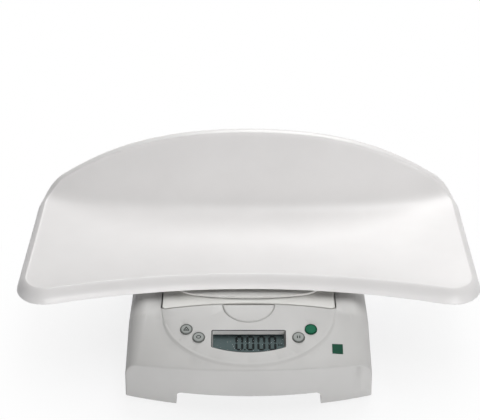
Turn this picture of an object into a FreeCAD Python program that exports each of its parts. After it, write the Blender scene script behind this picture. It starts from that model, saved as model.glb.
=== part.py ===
import FreeCAD
import Part
import math
import os
from FreeCAD import Vector

# Digital baby scale. Millimetres. X runs to the right, Y to the back, Z up from the floor.
# Every piece is drawn with Y = 0 at the middle of the base's front, and moved to the
# middle of the whole object when it is written.

# base casing
base_half_width = 143.8
base_depth = 300.0
base_front_radius = 488.0
casing_wall = 3.0
casing_bottom_z = 2.5
flank_draft = 2.0  # degrees
shoulder_z = 81.2
side_round = 20.0
corner_round = 7.0
crease_round = 3.0
crease_z = 57.2  # where the sloping panel meets the front, at the middle
crease_radius = 1410.0  # the crease sinks towards the sides
seam_y = 91.7  # where the panel meets the level top, at the middle
seam_radius = 470.0
boss_half_width = 103.0  # raised smile-shaped field that holds the display and the keys
boss_depth = 85.0
boss_height = 1.2
boss_edge = 3.0

# notch and channel under the base
notch_half_width = 83.7
notch_z = 19.7
notch_round = 7.0

# base pan, feet and the screws that close the base
pan_wall = 2.5
pan_clearance = 0.25
pan_rim_z = 26.0
foot_radius = 12.0
foot_x = 114.0
foot_y = 44.0
foot_plug_radius = 4.0
foot_plug_height = 5.0
post_x = 128.0
post_y = 30.0
post_radius = 4.5
post_bottom_z = 20.0
pan_boss_radius = 6.0
pilot_radius = 1.4
pilot_depth = 16.0
screw_radius = 1.35
screw_head_radius = 3.2
screw_head_height = 2.6
screw_hole_radius = 1.8
counterbore_radius = 3.7

# display: window in the panel's own plane, from the crease upwards
window_half_width = 43.2
window_top_s = 57.0
window_side_s = 33.0
window_middle_s = 24.7
window_round = 2.0
lens_depth_top = 5.3
lens_depth_low = 1.6
lens_thickness = 1.5
lens_margin = 2.4
lcd_thickness = 2.6
lcd_margin = 1.2
frame_margin = 5.0
lens_gap = 0.3
collar_wall = 2.0
seat_gap = 0.05

# keys
key_radius = 7.15
key_top_n = 2.0
key_collar_end_n = -5.7
key_flange_radius = 8.2
key_flange_thickness = 1.2
key_clearance = 0.3
key_travel = 0.8
outer_key_x = 72.3
outer_key_s = 57.9
inner_key_x = 57.7
inner_key_s = 46.4
key_edge = 0.6

# circuit board and silicone mat under the keys
board_top_n = -10.5
board_thickness = 1.6
board_half_width = 88.0
board_low_s = 11.0
board_high_s = 67.0
board_screw_x = 84.0
board_screw_low_s = 15.0
board_screw_high_s = 63.5
board_post_radius = 3.0
mat_thickness = 1.2
mat_dome_radius = 5.5
mat_half_size = 9.0

# tray release pad
pad_half_width = 30.5
pad_depth = 25.5
pad_gap = 0.5
pad_wall = 2.0
pad_top_n = 2.2
pad_skirt_n = -6.5
pad_seam_gap = 1.2
pad_travel = 2.5
pad_edge = 1.2
stem_half_width = 4.0
stem_front_y = 76.0
stem_bottom_z = 65.0
stem_back_y = 82.0  # at the slider's underside

# platform
platform_half_width = 102.0
platform_back_y = 288.0
platform_z = 82.6
platform_gap = 1.5
platform_wall = 3.0
platform_skirt = 8.0
platform_corner_round = 4.0
platform_edge = 0.8
platform_boss_x = 80.0
platform_boss_y = 65.0  # from the middle of the load cell
platform_boss_radius = 5.0
rib_thickness = 2.0
rib_height = 9.0

# load cell and the steel around it
cell_y = 190.0
cell_length = 130.0
cell_width = 32.0
cell_height = 22.0
cell_hole_radius = 7.0
cell_hole_pitch = 24.0
spacer_length = 32.0
spacer_height = 4.0
bolt_pitch = 18.0
bolt_radius = 3.0
bolt_head_radius = 5.0
bolt_head_height = 3.3
bolt_depth = 12.0
frame_boss_height = 4.8
frame_boss_radius = 6.0
frame_thickness = 2.5
frame_half_width = 96.0
frame_half_depth = 82.0
frame_screw_x = 79.0
frame_screw_y = 72.0
load_plate_half_width = 92.0
load_plate_half_depth = 75.0
load_plate_thickness = 3.0
stop_radius = 4.0
stop_x = 84.0
stop_y = 32.0
stop_gap = 0.8

# tray
lip_half_width = 266.0
lip_z = 103.6
lip_front_y = 124.2
lip_front_radius = 960.0
lip_back_y = 327.0
lip_back_radius = 1463.0
lip_front_corner = 25.0
lip_back_corner = 30.0
tray_wall = 3.0
dish_depth = 7.0
dish_run = 90.0
fold_y = 280.5
fold_sweep = 24.0
fold_power = 2.3
fold_softness = 12.0
wall_slope = 1.871
flange_out = 11.5
flange_drop = 16.5
flange_bow = 2.0
flange_back_share = 0.5
rim_bead = 0.6
station_spacing = 45.0
corner_stations = 4

# foot plate under the tray
plate_half_width = 95.0
plate_front_y = 101.4
plate_front_radius = 370.0
plate_back_y = 278.0
plate_corner = 38.0
plate_thickness = 2.5
plate_lift = 0.5
collar_half_width = 79.0
collar_front_y = 129.0
collar_back_y = 262.0
collar_corner = 26.0
tray_boss_x = 62.0
tray_boss_front_y = 154.0
tray_boss_back_y = 236.0
tray_boss_radius = 5.0
pad_disc_radius = 8.0
pad_disc_x = 78.0
pad_disc_front_y = 134.0
pad_disc_back_y = 248.0
pad_recess = 1.0

# catch between the tray and the platform
hook_half_width = 14.0
hook_front_y = 118.0
hook_back_y = 127.0
hook_bottom_z = 66.6
hook_slot_gap = 1.0
nose_half_width = 3.0
nose_gap = 0.4
nose_reach = 2.0
slider_half_width = 20.0
slider_bottom_z = 68.0
slider_thickness = 3.0
slider_back_y = 142.0
slider_window_margin = 2.0
guide_wall = 3.7
guide_floor = 2.2
guide_gap = 0.3
guide_front_y = 99.0
guide_back_y = 160.0
guide_end_wall = 3.0
spring_radius = 3.0
spring_wire = 0.8
spring_turns = 6.0
spring_pin_radius = 1.6
spring_pin_length = 5.0
spring_seat_z = 71.4
peg_x = 60.0
peg_y = 262.0
peg_radius = 4.0
peg_gap = 0.5
peg_bottom_z = 74.0
ramp_gap = 0.4

# batteries
battery_count = 6
battery_pitch = 15.2
battery_radius = 7.25
battery_length = 50.5
battery_front_y = 33.0
battery_gap = 0.5
box_wall = 2.0
box_end_gap = 1.8
contact_thickness = 0.5
cover_gap = 0.4
cover_thickness = 2.2

# lead from the load cell to the board
lead_radius = 2.0
lead_x = -76.0
lead_y = 60.0
lead_bend = 10.0

# plain square sticker on the panel
sticker_x = 102.3
sticker_s = 33.0
sticker_half_size = 6.2
sticker_thickness = 0.3

# derived places
panel_angle = math.atan2(shoulder_z - crease_z, seam_y)
seam_s = seam_y / math.cos(panel_angle)
pan_floor_z = notch_z + pan_wall
frame_z = pan_floor_z + frame_boss_height
cell_z = frame_z + frame_thickness + spacer_height
plate_z = cell_z + cell_height + spacer_height
plate_top_z = plate_z + load_plate_thickness
cover_under_z = platform_z - platform_wall
foot_plate_z = platform_z + plate_lift
wall_angle = math.atan(wall_slope)
back_post_y = base_depth - post_y
back_foot_y = base_depth - foot_y
big = 1000.0


def box(x0, x1, y0, y1, z0, z1):
    return Part.makeBox(x1 - x0, y1 - y0, z1 - z0, Vector(x0, y0, z0))


def rod(x, y, z0, z1, radius):
    return Part.makeCylinder(radius, z1 - z0, Vector(x, y, z0))


def polygon(points):
    return Part.Face(Part.makePolygon(points + [points[0]]))


def side_profile(points, half_width):
    """A solid with a profile in the YZ plane, centred on X = 0."""
    face = polygon([Vector(-half_width, y, z) for y, z in points])
    return face.extrude(Vector(2 * half_width, 0, 0))


def arc_drop(x, radius):
    return radius - math.sqrt(radius * radius - x * x)


def on_panel(shape):
    """Moves a solid drawn in the panel's plane (X, up the slope, outward) to its place."""
    moved = shape.copy()
    moved.rotate(Vector(0, 0, 0), Vector(1, 0, 0), math.degrees(panel_angle))
    moved.translate(Vector(0, 0, crease_z))
    return moved


def four(x, y0, y1):
    return [(-x, y0), (x, y0), (-x, y1), (x, y1)]


def fused(shapes):
    return shapes[0].fuse(shapes[1:])


def group(shapes):
    return Part.makeCompound(shapes)


def rounded(solid, radius, wanted):
    return solid.makeFillet(radius, [edge for edge in solid.Edges if wanted(edge.BoundBox)])


def screw(x, y, z_head, z_tip, radius, head_radius, head_height):
    """A screw whose head seats at z_head and whose point is at z_tip, above or below it."""
    way = 1 if z_tip > z_head else -1
    low, high = sorted((z_head, z_tip))
    shank = rod(x, y, low, high, radius)
    head_low, head_high = sorted((z_head, z_head - way * head_height))
    return shank.fuse(rod(x, y, head_low, head_high, head_radius))


# --- base casing ---


def above_panel(inset):
    """All that lies above the sloping panel, whose height and slope change a little along X."""
    wires = []
    for x in (-160, -110, -55, 0, 55, 110, 160):
        seam = seam_y - arc_drop(x, seam_radius)
        front = arc_drop(x, base_front_radius)
        slope = (shoulder_z - crease_z + x * x / (2 * crease_radius)) / (seam - front)
        lowered = inset * math.hypot(1, slope)
        ends = (-casing_wall * 15, seam + base_depth / 5)
        heights = [shoulder_z - (seam - y) * slope - lowered for y in ends]
        wires.append(
            Part.makePolygon(
                [
                    Vector(x, ends[0], heights[0]),
                    Vector(x, ends[1], heights[1]),
                    Vector(x, ends[1], big),
                    Vector(x, ends[0], big),
                    Vector(x, ends[0], heights[0]),
                ]
            )
        )
    return Part.makeLoft(wires, True, False)


def casing_form(inset, soft=True):
    """The outer form of the base, drawn in by an inset. Inner forms keep sharp small edges."""
    half = base_half_width - inset
    corner_y = inset + arc_drop(half, base_front_radius - inset)
    back = base_depth - inset
    left, right = Vector(-half, corner_y, 0), Vector(half, corner_y, 0)
    back_right, back_left = Vector(half, back, 0), Vector(-half, back, 0)
    outline = Part.Wire(
        [
            Part.Arc(left, Vector(0, inset, 0), right).toShape(),
            Part.LineSegment(right, back_right).toShape(),
            Part.LineSegment(back_right, back_left).toShape(),
            Part.LineSegment(back_left, left).toShape(),
        ]
    )
    form = Part.Face(outline).extrude(Vector(0, 0, shoulder_z - inset))
    lean = shoulder_z * 2 * math.tan(math.radians(flank_draft))
    for side in (-1, 1):
        flank = polygon(
            [
                Vector(side * half, -big, 0),
                Vector(side * big, -big, 0),
                Vector(side * big, -big, shoulder_z * 2),
                Vector(side * (half - lean), -big, shoulder_z * 2),
            ]
        )
        form = form.cut(flank.extrude(Vector(0, 3 * big, 0)))
    form = form.cut(above_panel(inset))
    form = rounded(
        form,
        side_round - inset,
        lambda b: b.ZMin > crease_z / 2 and abs(b.Center.x) > half - side_round and b.YLength > side_round,
    )
    if not soft:
        return form
    upright = crease_z / 3
    form = rounded(
        form,
        crease_round - inset,
        lambda b: b.YMax < seam_y / 2 and b.ZMax > 1 and (b.ZMin > upright or b.ZLength > upright),
    )
    return rounded(
        form,
        corner_round - inset,
        lambda b: b.YMin > back - 1 and b.ZLength > upright and b.ZMin < 1 and abs(b.Center.x) > half - 10,
    )


def half_ellipse(half_width, depth, middle_s, n):
    """The lower half of an ellipse in the panel's plane, closed along its top."""
    left, right = Vector(-half_width, middle_s, n), Vector(half_width, middle_s, n)
    if half_width > depth:
        curve = Part.Ellipse(Vector(0, middle_s, n), half_width, depth)
    else:
        curve = Part.Ellipse(Vector(0, middle_s - depth, n), Vector(half_width, middle_s, n), Vector(0, middle_s, n))
    arc = Part.ArcOfEllipse(curve, math.pi, 2 * math.pi).toShape()
    return Part.Wire([arc, Part.LineSegment(right, left).toShape()])


def panel_prism(wire, n0, n1):
    face = Part.Face(wire)
    start = wire.BoundBox.ZMin
    face.translate(Vector(0, 0, n0 - start))
    return on_panel(face.extrude(Vector(0, 0, n1 - n0)))


def window_wire(margin):
    """Straight top, short sides and a curved foot."""
    half = window_half_width + margin
    top, side = window_top_s + margin, window_side_s
    a, b = Vector(-half, top, 0), Vector(half, top, 0)
    c, d = Vector(half, side, 0), Vector(-half, side, 0)
    foot = Part.Arc(c, Vector(0, window_middle_s - margin, 0), d).toShape()
    wire = Part.Wire(
        [
            Part.LineSegment(a, b).toShape(),
            Part.LineSegment(b, c).toShape(),
            foot,
            Part.LineSegment(d, a).toShape(),
        ]
    )
    block = Part.Face(wire).extrude(Vector(0, 0, 1))
    block = rounded(block, window_round + margin / 2, lambda box_: box_.ZLength > 0.9 and box_.XLength < 0.1)
    return [f for f in block.Faces if f.BoundBox.ZMax < 0.1][0].OuterWire


def lens_plane_n(s):
    """Depth of the lens under the panel: it leans back further than the panel does."""
    share = (s - window_middle_s) / (window_top_s - window_middle_s)
    return -(lens_depth_low + (lens_depth_top - lens_depth_low) * share)


def lens_slab(offset, thickness):
    """A wide slab that lies under the lens plane by an offset, in the panel's plane."""
    s0, s1 = board_low_s, board_high_s
    points = [
        (s0, lens_plane_n(s0) - offset),
        (s1, lens_plane_n(s1) - offset),
        (s1, lens_plane_n(s1) - offset - thickness),
        (s0, lens_plane_n(s0) - offset - thickness),
    ]
    return on_panel(side_profile(points, base_half_width))


def key_places():
    return {
        "arrow_key": (-outer_key_x, outer_key_s),
        "tare_key": (-inner_key_x, inner_key_s),
        "hold_key": (inner_key_x, inner_key_s),
        "power_key": (outer_key_x, outer_key_s),
    }


def platform_outline(margin):
    """The platform's outline: its front follows the seam."""
    half = platform_half_width + margin
    front = seam_y + platform_gap - margin
    corner = front - arc_drop(half, seam_radius)
    back = platform_back_y + margin
    front_edge = Part.Arc(Vector(-half, corner, 0), Vector(0, front, 0), Vector(half, corner, 0))
    points = [Vector(half, corner, 0), Vector(half, back, 0), Vector(-half, back, 0), Vector(-half, corner, 0)]
    lines = [Part.LineSegment(points[i], points[i + 1]).toShape() for i in range(3)]
    return Part.Face(Part.Wire([front_edge.toShape()] + lines))


def platform_prism(margin, z0, z1):
    face = platform_outline(margin)
    face.translate(Vector(0, 0, z0))
    solid = face.extrude(Vector(0, 0, z1 - z0))
    return rounded(
        solid, platform_corner_round + margin, lambda b: b.ZLength > 0.9 * (z1 - z0) and b.XLength < 0.1
    )


def channel(margin, z_top):
    """The straight channel under the base, with rounded upper corners."""
    half = notch_half_width - margin
    block = box(-half, half, -big, big, -big, z_top)
    radius = max(notch_round - margin, 1.0)
    return rounded(block, radius, lambda b: b.ZMin > z_top - 1 and b.YLength > big)


def upper_casing():
    inner = casing_form(casing_wall, False)
    raised = casing_form(-boss_height)
    shell = casing_form(0).cut(inner)
    low_wire = half_ellipse(boss_half_width + boss_edge, boss_depth + boss_edge, seam_s, -casing_wall)
    high_wire = half_ellipse(boss_half_width - boss_edge / 2, boss_depth - boss_edge / 2, seam_s, 2 * boss_edge)
    boss = on_panel(Part.makeLoft([low_wire, high_wire], True, True))
    shell = shell.fuse(boss.common(raised).cut(inner))
    additions, cuts = [], []
    collar = panel_prism(window_wire(collar_wall), -lens_depth_top - collar_wall, 0)
    additions.append(collar.cut(lens_slab(0, big / 10)))
    cuts.append(panel_prism(window_wire(0), -2 * lens_depth_top, 3 * lens_depth_top))
    pocket = panel_prism(window_wire(lens_margin + lens_gap), -2 * lens_depth_top, 0)
    cuts.append(pocket.common(lens_slab(0, big / 10)))
    cuts.append(lcd_block(frame_margin + lens_gap).common(lens_slab(lens_thickness, big / 10)))
    hole = key_radius + key_clearance
    for x, s in key_places().values():
        additions.append(on_panel(rod(x, s, key_collar_end_n, 0, hole + collar_wall)))
        cuts.append(on_panel(rod(x, s, 2 * key_collar_end_n, -key_collar_end_n, hole)))
    pad_s = seam_s - pad_seam_gap
    guide = half_ellipse(pad_half_width + pad_gap + collar_wall, pad_depth + pad_gap + collar_wall, pad_s, 0)
    opening = half_ellipse(pad_half_width + pad_gap, pad_depth + pad_gap, pad_s, 0)
    additions.append(panel_prism(guide, pad_skirt_n, 0))
    cuts.append(panel_prism(opening, 2 * pad_skirt_n, -pad_skirt_n))
    seam_cut = on_panel(
        box(-pad_half_width - pad_gap, pad_half_width + pad_gap, pad_s - 1, pad_s + 20, 2 * pad_skirt_n, 20)
    )
    cuts.append(seam_cut.common(box(-big, big, 0, seam_y + platform_gap, 0, big)))
    for x, s in board_posts():
        additions.append(on_panel(rod(x, s, board_top_n, 0, board_post_radius)))
    reach = casing_form(casing_wall / 2, False)
    casing = shell.fuse([piece.common(reach) for piece in additions])
    for x, y in four(post_x, post_y, back_post_y):
        post = rod(x, y, post_bottom_z, shoulder_z, post_radius)
        side = math.copysign(1, x)
        rib_x = sorted((x, side * base_half_width))
        rib = box(rib_x[0], rib_x[1], y - rib_thickness / 2, y + rib_thickness / 2, pan_rim_z + 1, shoulder_z)
        casing = casing.fuse(post.fuse(rib).common(reach))
        cuts.append(rod(x, y, post_bottom_z - 1, post_bottom_z + pilot_depth, pilot_radius))
    for x, s in board_posts():
        cuts.append(on_panel(rod(x, s, board_top_n - 1, board_top_n + 6, pilot_radius * 0.8)))
    cuts.append(platform_prism(platform_gap, shoulder_z - platform_skirt * 1.5, big))
    cuts.append(channel(0, notch_z))
    cuts.append(box(-big, big, -big, big, -big, casing_bottom_z))
    return casing.cut(cuts)


def board_posts():
    places = four(board_screw_x, board_screw_low_s, board_screw_high_s)
    return places


def sticker():
    square = Part.makePolygon(
        [
            Vector(sticker_x + i * sticker_half_size, sticker_s + j * sticker_half_size, 0)
            for i, j in ((-1, -1), (1, -1), (1, 1), (-1, 1), (-1, -1))
        ]
    )
    column = panel_prism(square, -2 * casing_wall, 2 * casing_wall)
    layer = casing_form(-sticker_thickness).cut(casing_form(-seat_gap / 2))
    return column.common(layer)


# --- base pan ---


def base_pan():
    """A floor over the channel, and a deep rail at each side that holds the feet."""
    outer = casing_form(casing_wall + pan_clearance, False)
    inner = casing_form(casing_wall + pan_clearance + pan_wall, False)
    pan = outer.common(box(-big, big, -big, big, casing_bottom_z, pan_rim_z))
    pan = pan.cut(channel(0, notch_z))
    rails = inner.common(box(-big, big, -big, big, casing_bottom_z + pan_wall, big))
    pan = pan.cut(rails.cut(channel(-pan_wall, pan_floor_z)))
    for x, y in four(post_x, post_y, back_post_y):
        pan = pan.fuse(rod(x, y, casing_bottom_z, post_bottom_z, pan_boss_radius))
    for x, y in four(frame_screw_x, cell_y - frame_screw_y, cell_y + frame_screw_y):
        pan = pan.fuse(rod(x, y, pan_floor_z - pan_wall / 2, frame_z, frame_boss_radius))
    for x, y in four(post_x, post_y, back_post_y):
        pan = pan.cut(rod(x, y, 0, post_bottom_z - 2 * pan_wall, counterbore_radius))
        pan = pan.cut(rod(x, y, 0, post_bottom_z + 1, screw_hole_radius))
    for x, y in four(foot_x, foot_y, back_foot_y):
        pan = pan.cut(rod(x, y, 0, casing_bottom_z + 2 * pan_wall, foot_plug_radius + pan_clearance / 2))
    for x, y in four(frame_screw_x, cell_y - frame_screw_y, cell_y + frame_screw_y):
        pan = pan.cut(rod(x, y, pan_floor_z, frame_z + 1, pilot_radius))
    opening = battery_opening(0)
    return pan.cut(box(*opening, 0, pan_floor_z + 1))


def battery_opening(margin):
    half = battery_count * battery_pitch / 2
    front, back = battery_front_y, battery_front_y + battery_length
    return (-half + margin, half - margin, front + margin, back - margin)


def rubber_feet():
    feet = []
    for x, y in four(foot_x, foot_y, back_foot_y):
        disc = Part.makeCone(foot_radius - 1, foot_radius, casing_bottom_z - seat_gap, Vector(x, y, 0))
        feet.append(disc.fuse(rod(x, y, 1, casing_bottom_z + foot_plug_height, foot_plug_radius)))
    return group(feet)


def casing_screws():
    seat = post_bottom_z - 2 * pan_wall
    return group(
        [
            screw(x, y, seat - seat_gap, seat + pilot_depth, screw_radius, screw_head_radius, screw_head_height)
            for x, y in four(post_x, post_y, back_post_y)
        ]
    )


# --- batteries ---


def battery_box():
    x0, x1, y0, y1 = battery_opening(0)
    grow = box_wall + box_end_gap
    top = pan_floor_z + battery_gap + 2 * battery_radius + 1
    outer = box(x0 - box_wall, x1 + box_wall, y0 - grow, y1 + grow, pan_floor_z + seat_gap, top + box_wall)
    inner = box(x0, x1, y0 - box_end_gap, y1 + box_end_gap, 0, top)
    return outer.cut(inner)


def battery_places():
    first = -(battery_count - 1) * battery_pitch / 2
    return [first + i * battery_pitch for i in range(battery_count)]


def battery_cells():
    z = pan_floor_z + battery_gap + battery_radius
    cells = []
    for i, x in enumerate(battery_places()):
        cell = Part.makeCylinder(battery_radius, battery_length - 1, Vector(x, battery_front_y, z), Vector(0, 1, 0))
        way = 1 if i % 2 else -1
        tip_y = battery_front_y + (battery_length - 1 if way > 0 else 0)
        tip = Part.makeCylinder(battery_radius / 2.6, 1, Vector(x, tip_y, z), Vector(0, way, 0))
        cells.append(cell.fuse(tip))
    return group(cells)


def battery_contacts():
    """A plate at each end of the box for each pair of cells."""
    x0, x1, y0, y1 = battery_opening(0)
    z = pan_floor_z + battery_gap + battery_radius
    plates = []
    for y in (y0 - box_end_gap + seat_gap, y1 + box_end_gap - contact_thickness - seat_gap):
        for i in range(battery_count // 2):
            left = x0 + 2 * i * battery_pitch + 1
            right = left + 2 * battery_pitch - 2
            plates.append(
                box(left, right, y, y + contact_thickness, z - battery_radius / 2, z + battery_radius / 2)
            )
    return group(plates)


def battery_cover():
    x0, x1, y0, y1 = battery_opening(cover_gap)
    plate = box(x0, x1, y0, y1, notch_z, notch_z + cover_thickness)
    middle = (y0 + y1) / 2
    groove_length = battery_pitch
    for offset in (-3, 0, 3):
        y = y1 - 8 + offset
        plate = plate.cut(box(-groove_length, groove_length, y - 0.6, y + 0.6, notch_z - 1, notch_z + 0.6))
    return rounded(plate, 2.0, lambda b: b.ZLength > 1.5 and b.XLength < 0.1 and abs(b.YMin - middle) > 20)


# --- display, board and keys ---


def display_lens():
    return panel_prism(window_wire(lens_margin), -board_high_s, board_high_s).common(
        lens_slab(seat_gap, lens_thickness)
    )


def lcd_block(margin):
    half = window_half_width + margin
    flat = box(-half, half, window_middle_s - margin, window_top_s + margin, -board_high_s, board_high_s)
    return on_panel(flat)


def lcd_panel():
    return lcd_block(lcd_margin).common(lens_slab(2 * seat_gap + lens_thickness, lcd_thickness))


def display_frame():
    """A tray that carries the crystal panel off the board and holds it against the lens."""
    offset = seat_gap + lens_thickness
    space = on_panel(box(-base_half_width, base_half_width, 0, seam_s, board_top_n + seat_gap, 0))
    block = lcd_block(frame_margin).common(lens_slab(offset + seat_gap, big / 10)).common(space)
    pocket = lcd_block(lcd_margin + seat_gap).common(lens_slab(0, offset + lcd_thickness + 2 * seat_gap))
    return block.cut(pocket).cut(lcd_block(-lcd_margin))


def circuit_board():
    n0 = board_top_n - board_thickness
    board = box(-board_half_width, board_half_width, board_low_s, board_high_s, n0, board_top_n)
    for x, s in board_posts():
        board = board.cut(rod(x, s, n0 - 1, board_top_n + 1, screw_hole_radius * 0.8))
    socket_s = (lead_y + n0 * math.sin(panel_angle)) / math.cos(panel_angle)
    chips = [
        box(lead_x - 5, lead_x + 5, socket_s - 4, socket_s + 4, n0 - 3, n0),
        box(-12, 12, 34, 50, n0 - 2, n0),
        box(26, 36, 36, 46, n0 - 1.6, n0),
    ]
    return on_panel(board.fuse(chips))


def board_screws():
    n0 = board_top_n - board_thickness
    return group(
        [
            on_panel(screw(x, s, n0 - seat_gap, board_top_n + 5, pilot_radius * 0.75, 2.4, 1.6))
            for x, s in board_posts()
        ]
    )


def key_mat():
    """One silicone strip for each pair of keys, with a dome under each key."""
    n0 = board_top_n + seat_gap
    top = key_collar_end_n - key_clearance - key_flange_thickness - key_travel - key_clearance
    strips = []
    for side in (-1, 1):
        low_x, high_x = sorted((side * inner_key_x, side * outer_key_x))
        strip = box(
            low_x - mat_dome_radius - 2,
            high_x + mat_dome_radius + 2,
            inner_key_s - mat_half_size,
            outer_key_s + mat_dome_radius,
            n0,
            n0 + mat_thickness / 2,
        )
        for x, s in ((side * inner_key_x, inner_key_s), (side * outer_key_x, outer_key_s)):
            strip = strip.fuse(Part.makeCone(mat_dome_radius, mat_dome_radius - 1.5, top - n0, Vector(x, s, n0)))
        strips.append(on_panel(strip))
    return group(strips)


def push_key(x, s):
    """A round cap with a bevelled face and a flange that stops it against its collar."""
    flange_top = key_collar_end_n - key_clearance
    cap = rod(x, s, flange_top - key_flange_thickness, key_top_n - key_edge, key_radius)
    face = Part.makeCone(key_radius, key_radius - key_edge, key_edge, Vector(x, s, key_top_n - key_edge))
    flange = rod(x, s, flange_top - key_flange_thickness, flange_top, key_flange_radius)
    cap = cap.fuse([face, flange])
    return on_panel(cap)


# --- tray release ---


def ramp_slope():
    """Slope of the wedge faces for a slider that moves as far as the pad is pushed."""
    return (1 - math.sin(panel_angle)) / math.cos(panel_angle)


def release_pad():
    """A half-oval pad, hollow below, with a wedge on its underside that drives the slider."""
    pad_s = seam_s - pad_seam_gap
    outline = Part.Face(half_ellipse(pad_half_width, pad_depth, pad_s, pad_skirt_n))
    block = outline.extrude(Vector(0, 0, pad_top_n - pad_skirt_n))
    rim = [edge for edge in block.Edges if edge.BoundBox.ZMin > 0]
    pad = on_panel(block.makeChamfer(pad_edge, rim))
    hollow = half_ellipse(pad_half_width - pad_wall, pad_depth - 2 * pad_wall, pad_s - pad_wall, 0)
    pad = pad.cut(panel_prism(hollow, pad_skirt_n - 1, pad_top_n - pad_wall))
    slope = ramp_slope()
    low_z = stem_bottom_z
    high_z = crease_z + stem_back_y * math.tan(panel_angle) + pad_wall
    stem = side_profile(
        [
            (stem_front_y, low_z),
            (stem_back_y + slope * (low_z - slider_bottom_z), low_z),
            (stem_back_y + slope * (high_z - slider_bottom_z), high_z),
            (stem_front_y, high_z),
        ],
        stem_half_width,
    )
    back_y = (pad_s - pad_wall / 2) * math.cos(panel_angle)
    under_face = on_panel(box(-big, big, 0, seam_s, -big / 10, pad_top_n - pad_wall / 2))
    return pad.fuse(stem.common(under_face).common(box(-big, big, 0, back_y, 0, big)))


def catch_slider():
    """A flat slider with a window round the hook; its nose sits in the hook's rear notch."""
    z0, z1 = slider_bottom_z, slider_bottom_z + slider_thickness
    slope = ramp_slope()
    front = stem_back_y + ramp_gap
    tongue = side_profile(
        [(front, z0), (front + slope * slider_thickness, z1), (guide_front_y, z1), (guide_front_y, z0)],
        stem_half_width + 2,
    )
    body = box(-slider_half_width, slider_half_width, guide_front_y - 1, slider_back_y, z0, z1)
    half = hook_half_width + slider_window_margin
    window = box(-half, half, hook_front_y - pad_travel - 4, hook_back_y + 6, z0 - 1, z1 + 1)
    nose = box(-nose_half_width, nose_half_width, hook_back_y - nose_reach, hook_back_y + 7, z0, z1)
    block = box(-spring_radius * 2, spring_radius * 2, slider_back_y - 4, slider_back_y, z0, spring_seat_z + 3)
    pin = Part.makeCylinder(
        spring_pin_radius, spring_pin_length, Vector(0, slider_back_y, spring_seat_z), Vector(0, 1, 0)
    )
    return fused([tongue, body]).cut(window).fuse([nose, block, pin])


def catch_guide():
    """A channel under the platform cover that carries the slider and backs its spring."""
    z_floor = slider_bottom_z - guide_gap
    half = slider_half_width + guide_gap
    block = box(
        -half - guide_wall,
        half + guide_wall,
        guide_front_y,
        guide_back_y,
        z_floor - guide_floor,
        cover_under_z - seat_gap,
    )
    space = box(-half, half, guide_front_y - 1, guide_back_y - guide_end_wall, z_floor, big)
    window_half = hook_half_width + hook_slot_gap
    window = box(-window_half, window_half, hook_front_y - 3, hook_back_y + 3, 0, big)
    return block.cut(space).cut(window)


def catch_spring():
    """A coil round the slider's pin, against the guide's end wall, at its pushed-in length."""
    start = slider_back_y + pad_travel + guide_gap
    height = guide_back_y - guide_end_wall - seat_gap - start - spring_wire
    outer, half = spring_radius, spring_wire / 2
    helix = Part.makeHelix(height / spring_turns, height, outer - half)
    corners = [(outer - spring_wire, -half), (outer, -half), (outer, half), (outer - spring_wire, half)]
    profile = Part.makePolygon([Vector(x, 0, z) for x, z in corners + corners[:1]])
    coil = Part.Wire(helix.Edges).makePipeShell([profile], True, True)
    coil.rotate(Vector(0, 0, 0), Vector(1, 0, 0), -90)
    coil.translate(Vector(0, start + half, spring_seat_z))
    return coil


# --- platform ---


def platform_cover():
    solid = platform_prism(0, platform_z - platform_skirt, platform_z)
    inner = platform_prism(-platform_wall, 0, cover_under_z)
    rim = [edge for edge in solid.Edges if edge.BoundBox.ZMin > platform_z - 0.1]
    cover = solid.makeChamfer(platform_edge, rim).cut(inner)
    for x, y in cover_boss_places():
        cover = cover.fuse(rod(x, y, plate_top_z, cover_under_z + 1, platform_boss_radius))
    rib_z = cover_under_z - rib_height
    ribs = [
        box(x - rib_thickness / 2, x + rib_thickness / 2, seam_y + 12, platform_back_y - 5, rib_z, cover_under_z + 1)
        for x in (-45, 45)
    ]
    for y in (cell_y - 20, cell_y + 20, cell_y + 60):
        half = platform_half_width - platform_wall
        ribs.append(box(-half, half, y - rib_thickness / 2, y + rib_thickness / 2, rib_z, cover_under_z + 1))
    cover = cover.fuse(ribs)
    cuts = [rod(x, y, 0, plate_top_z + pilot_depth / 2, pilot_radius) for x, y in cover_boss_places()]
    half = hook_half_width + hook_slot_gap
    cuts.append(box(-half, half, hook_front_y - hook_slot_gap, hook_back_y + hook_slot_gap, 0, big))
    cuts += [rod(x, peg_y, 0, big, peg_radius + peg_gap) for x in (-peg_x, peg_x)]
    return cover.cut(cuts)


def cover_boss_places():
    return four(platform_boss_x, cell_y - platform_boss_y, cell_y + platform_boss_y)


def load_plate():
    plate = box(
        -load_plate_half_width,
        load_plate_half_width,
        cell_y - load_plate_half_depth,
        cell_y + load_plate_half_depth,
        plate_z,
        plate_top_z - seat_gap,
    )
    plate = rounded(plate, 6.0, lambda b: b.XLength < 0.1 and b.YLength < 0.1)
    for x, y in cover_boss_places():
        plate = plate.cut(rod(x, y, 0, big, screw_hole_radius))
    for x, y in bolt_places(1):
        plate = plate.cut(rod(x, y, 0, big, bolt_radius + 0.2))
    for side in (-1, 1):
        hole = rod(0, cell_y + side * load_plate_half_depth * 0.6, 0, big, 14)
        plate = plate.cut(hole)
    return plate


def cover_screws():
    return group(
        [
            screw(x, y, plate_z - seat_gap, plate_top_z + 7, screw_radius, screw_head_radius, screw_head_height)
            for x, y in cover_boss_places()
        ]
    )


# --- load cell ---


def bolt_places(side):
    middle = side * (cell_length - spacer_length) / 2
    return [(middle, cell_y - bolt_pitch / 2), (middle, cell_y + bolt_pitch / 2)]


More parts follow.
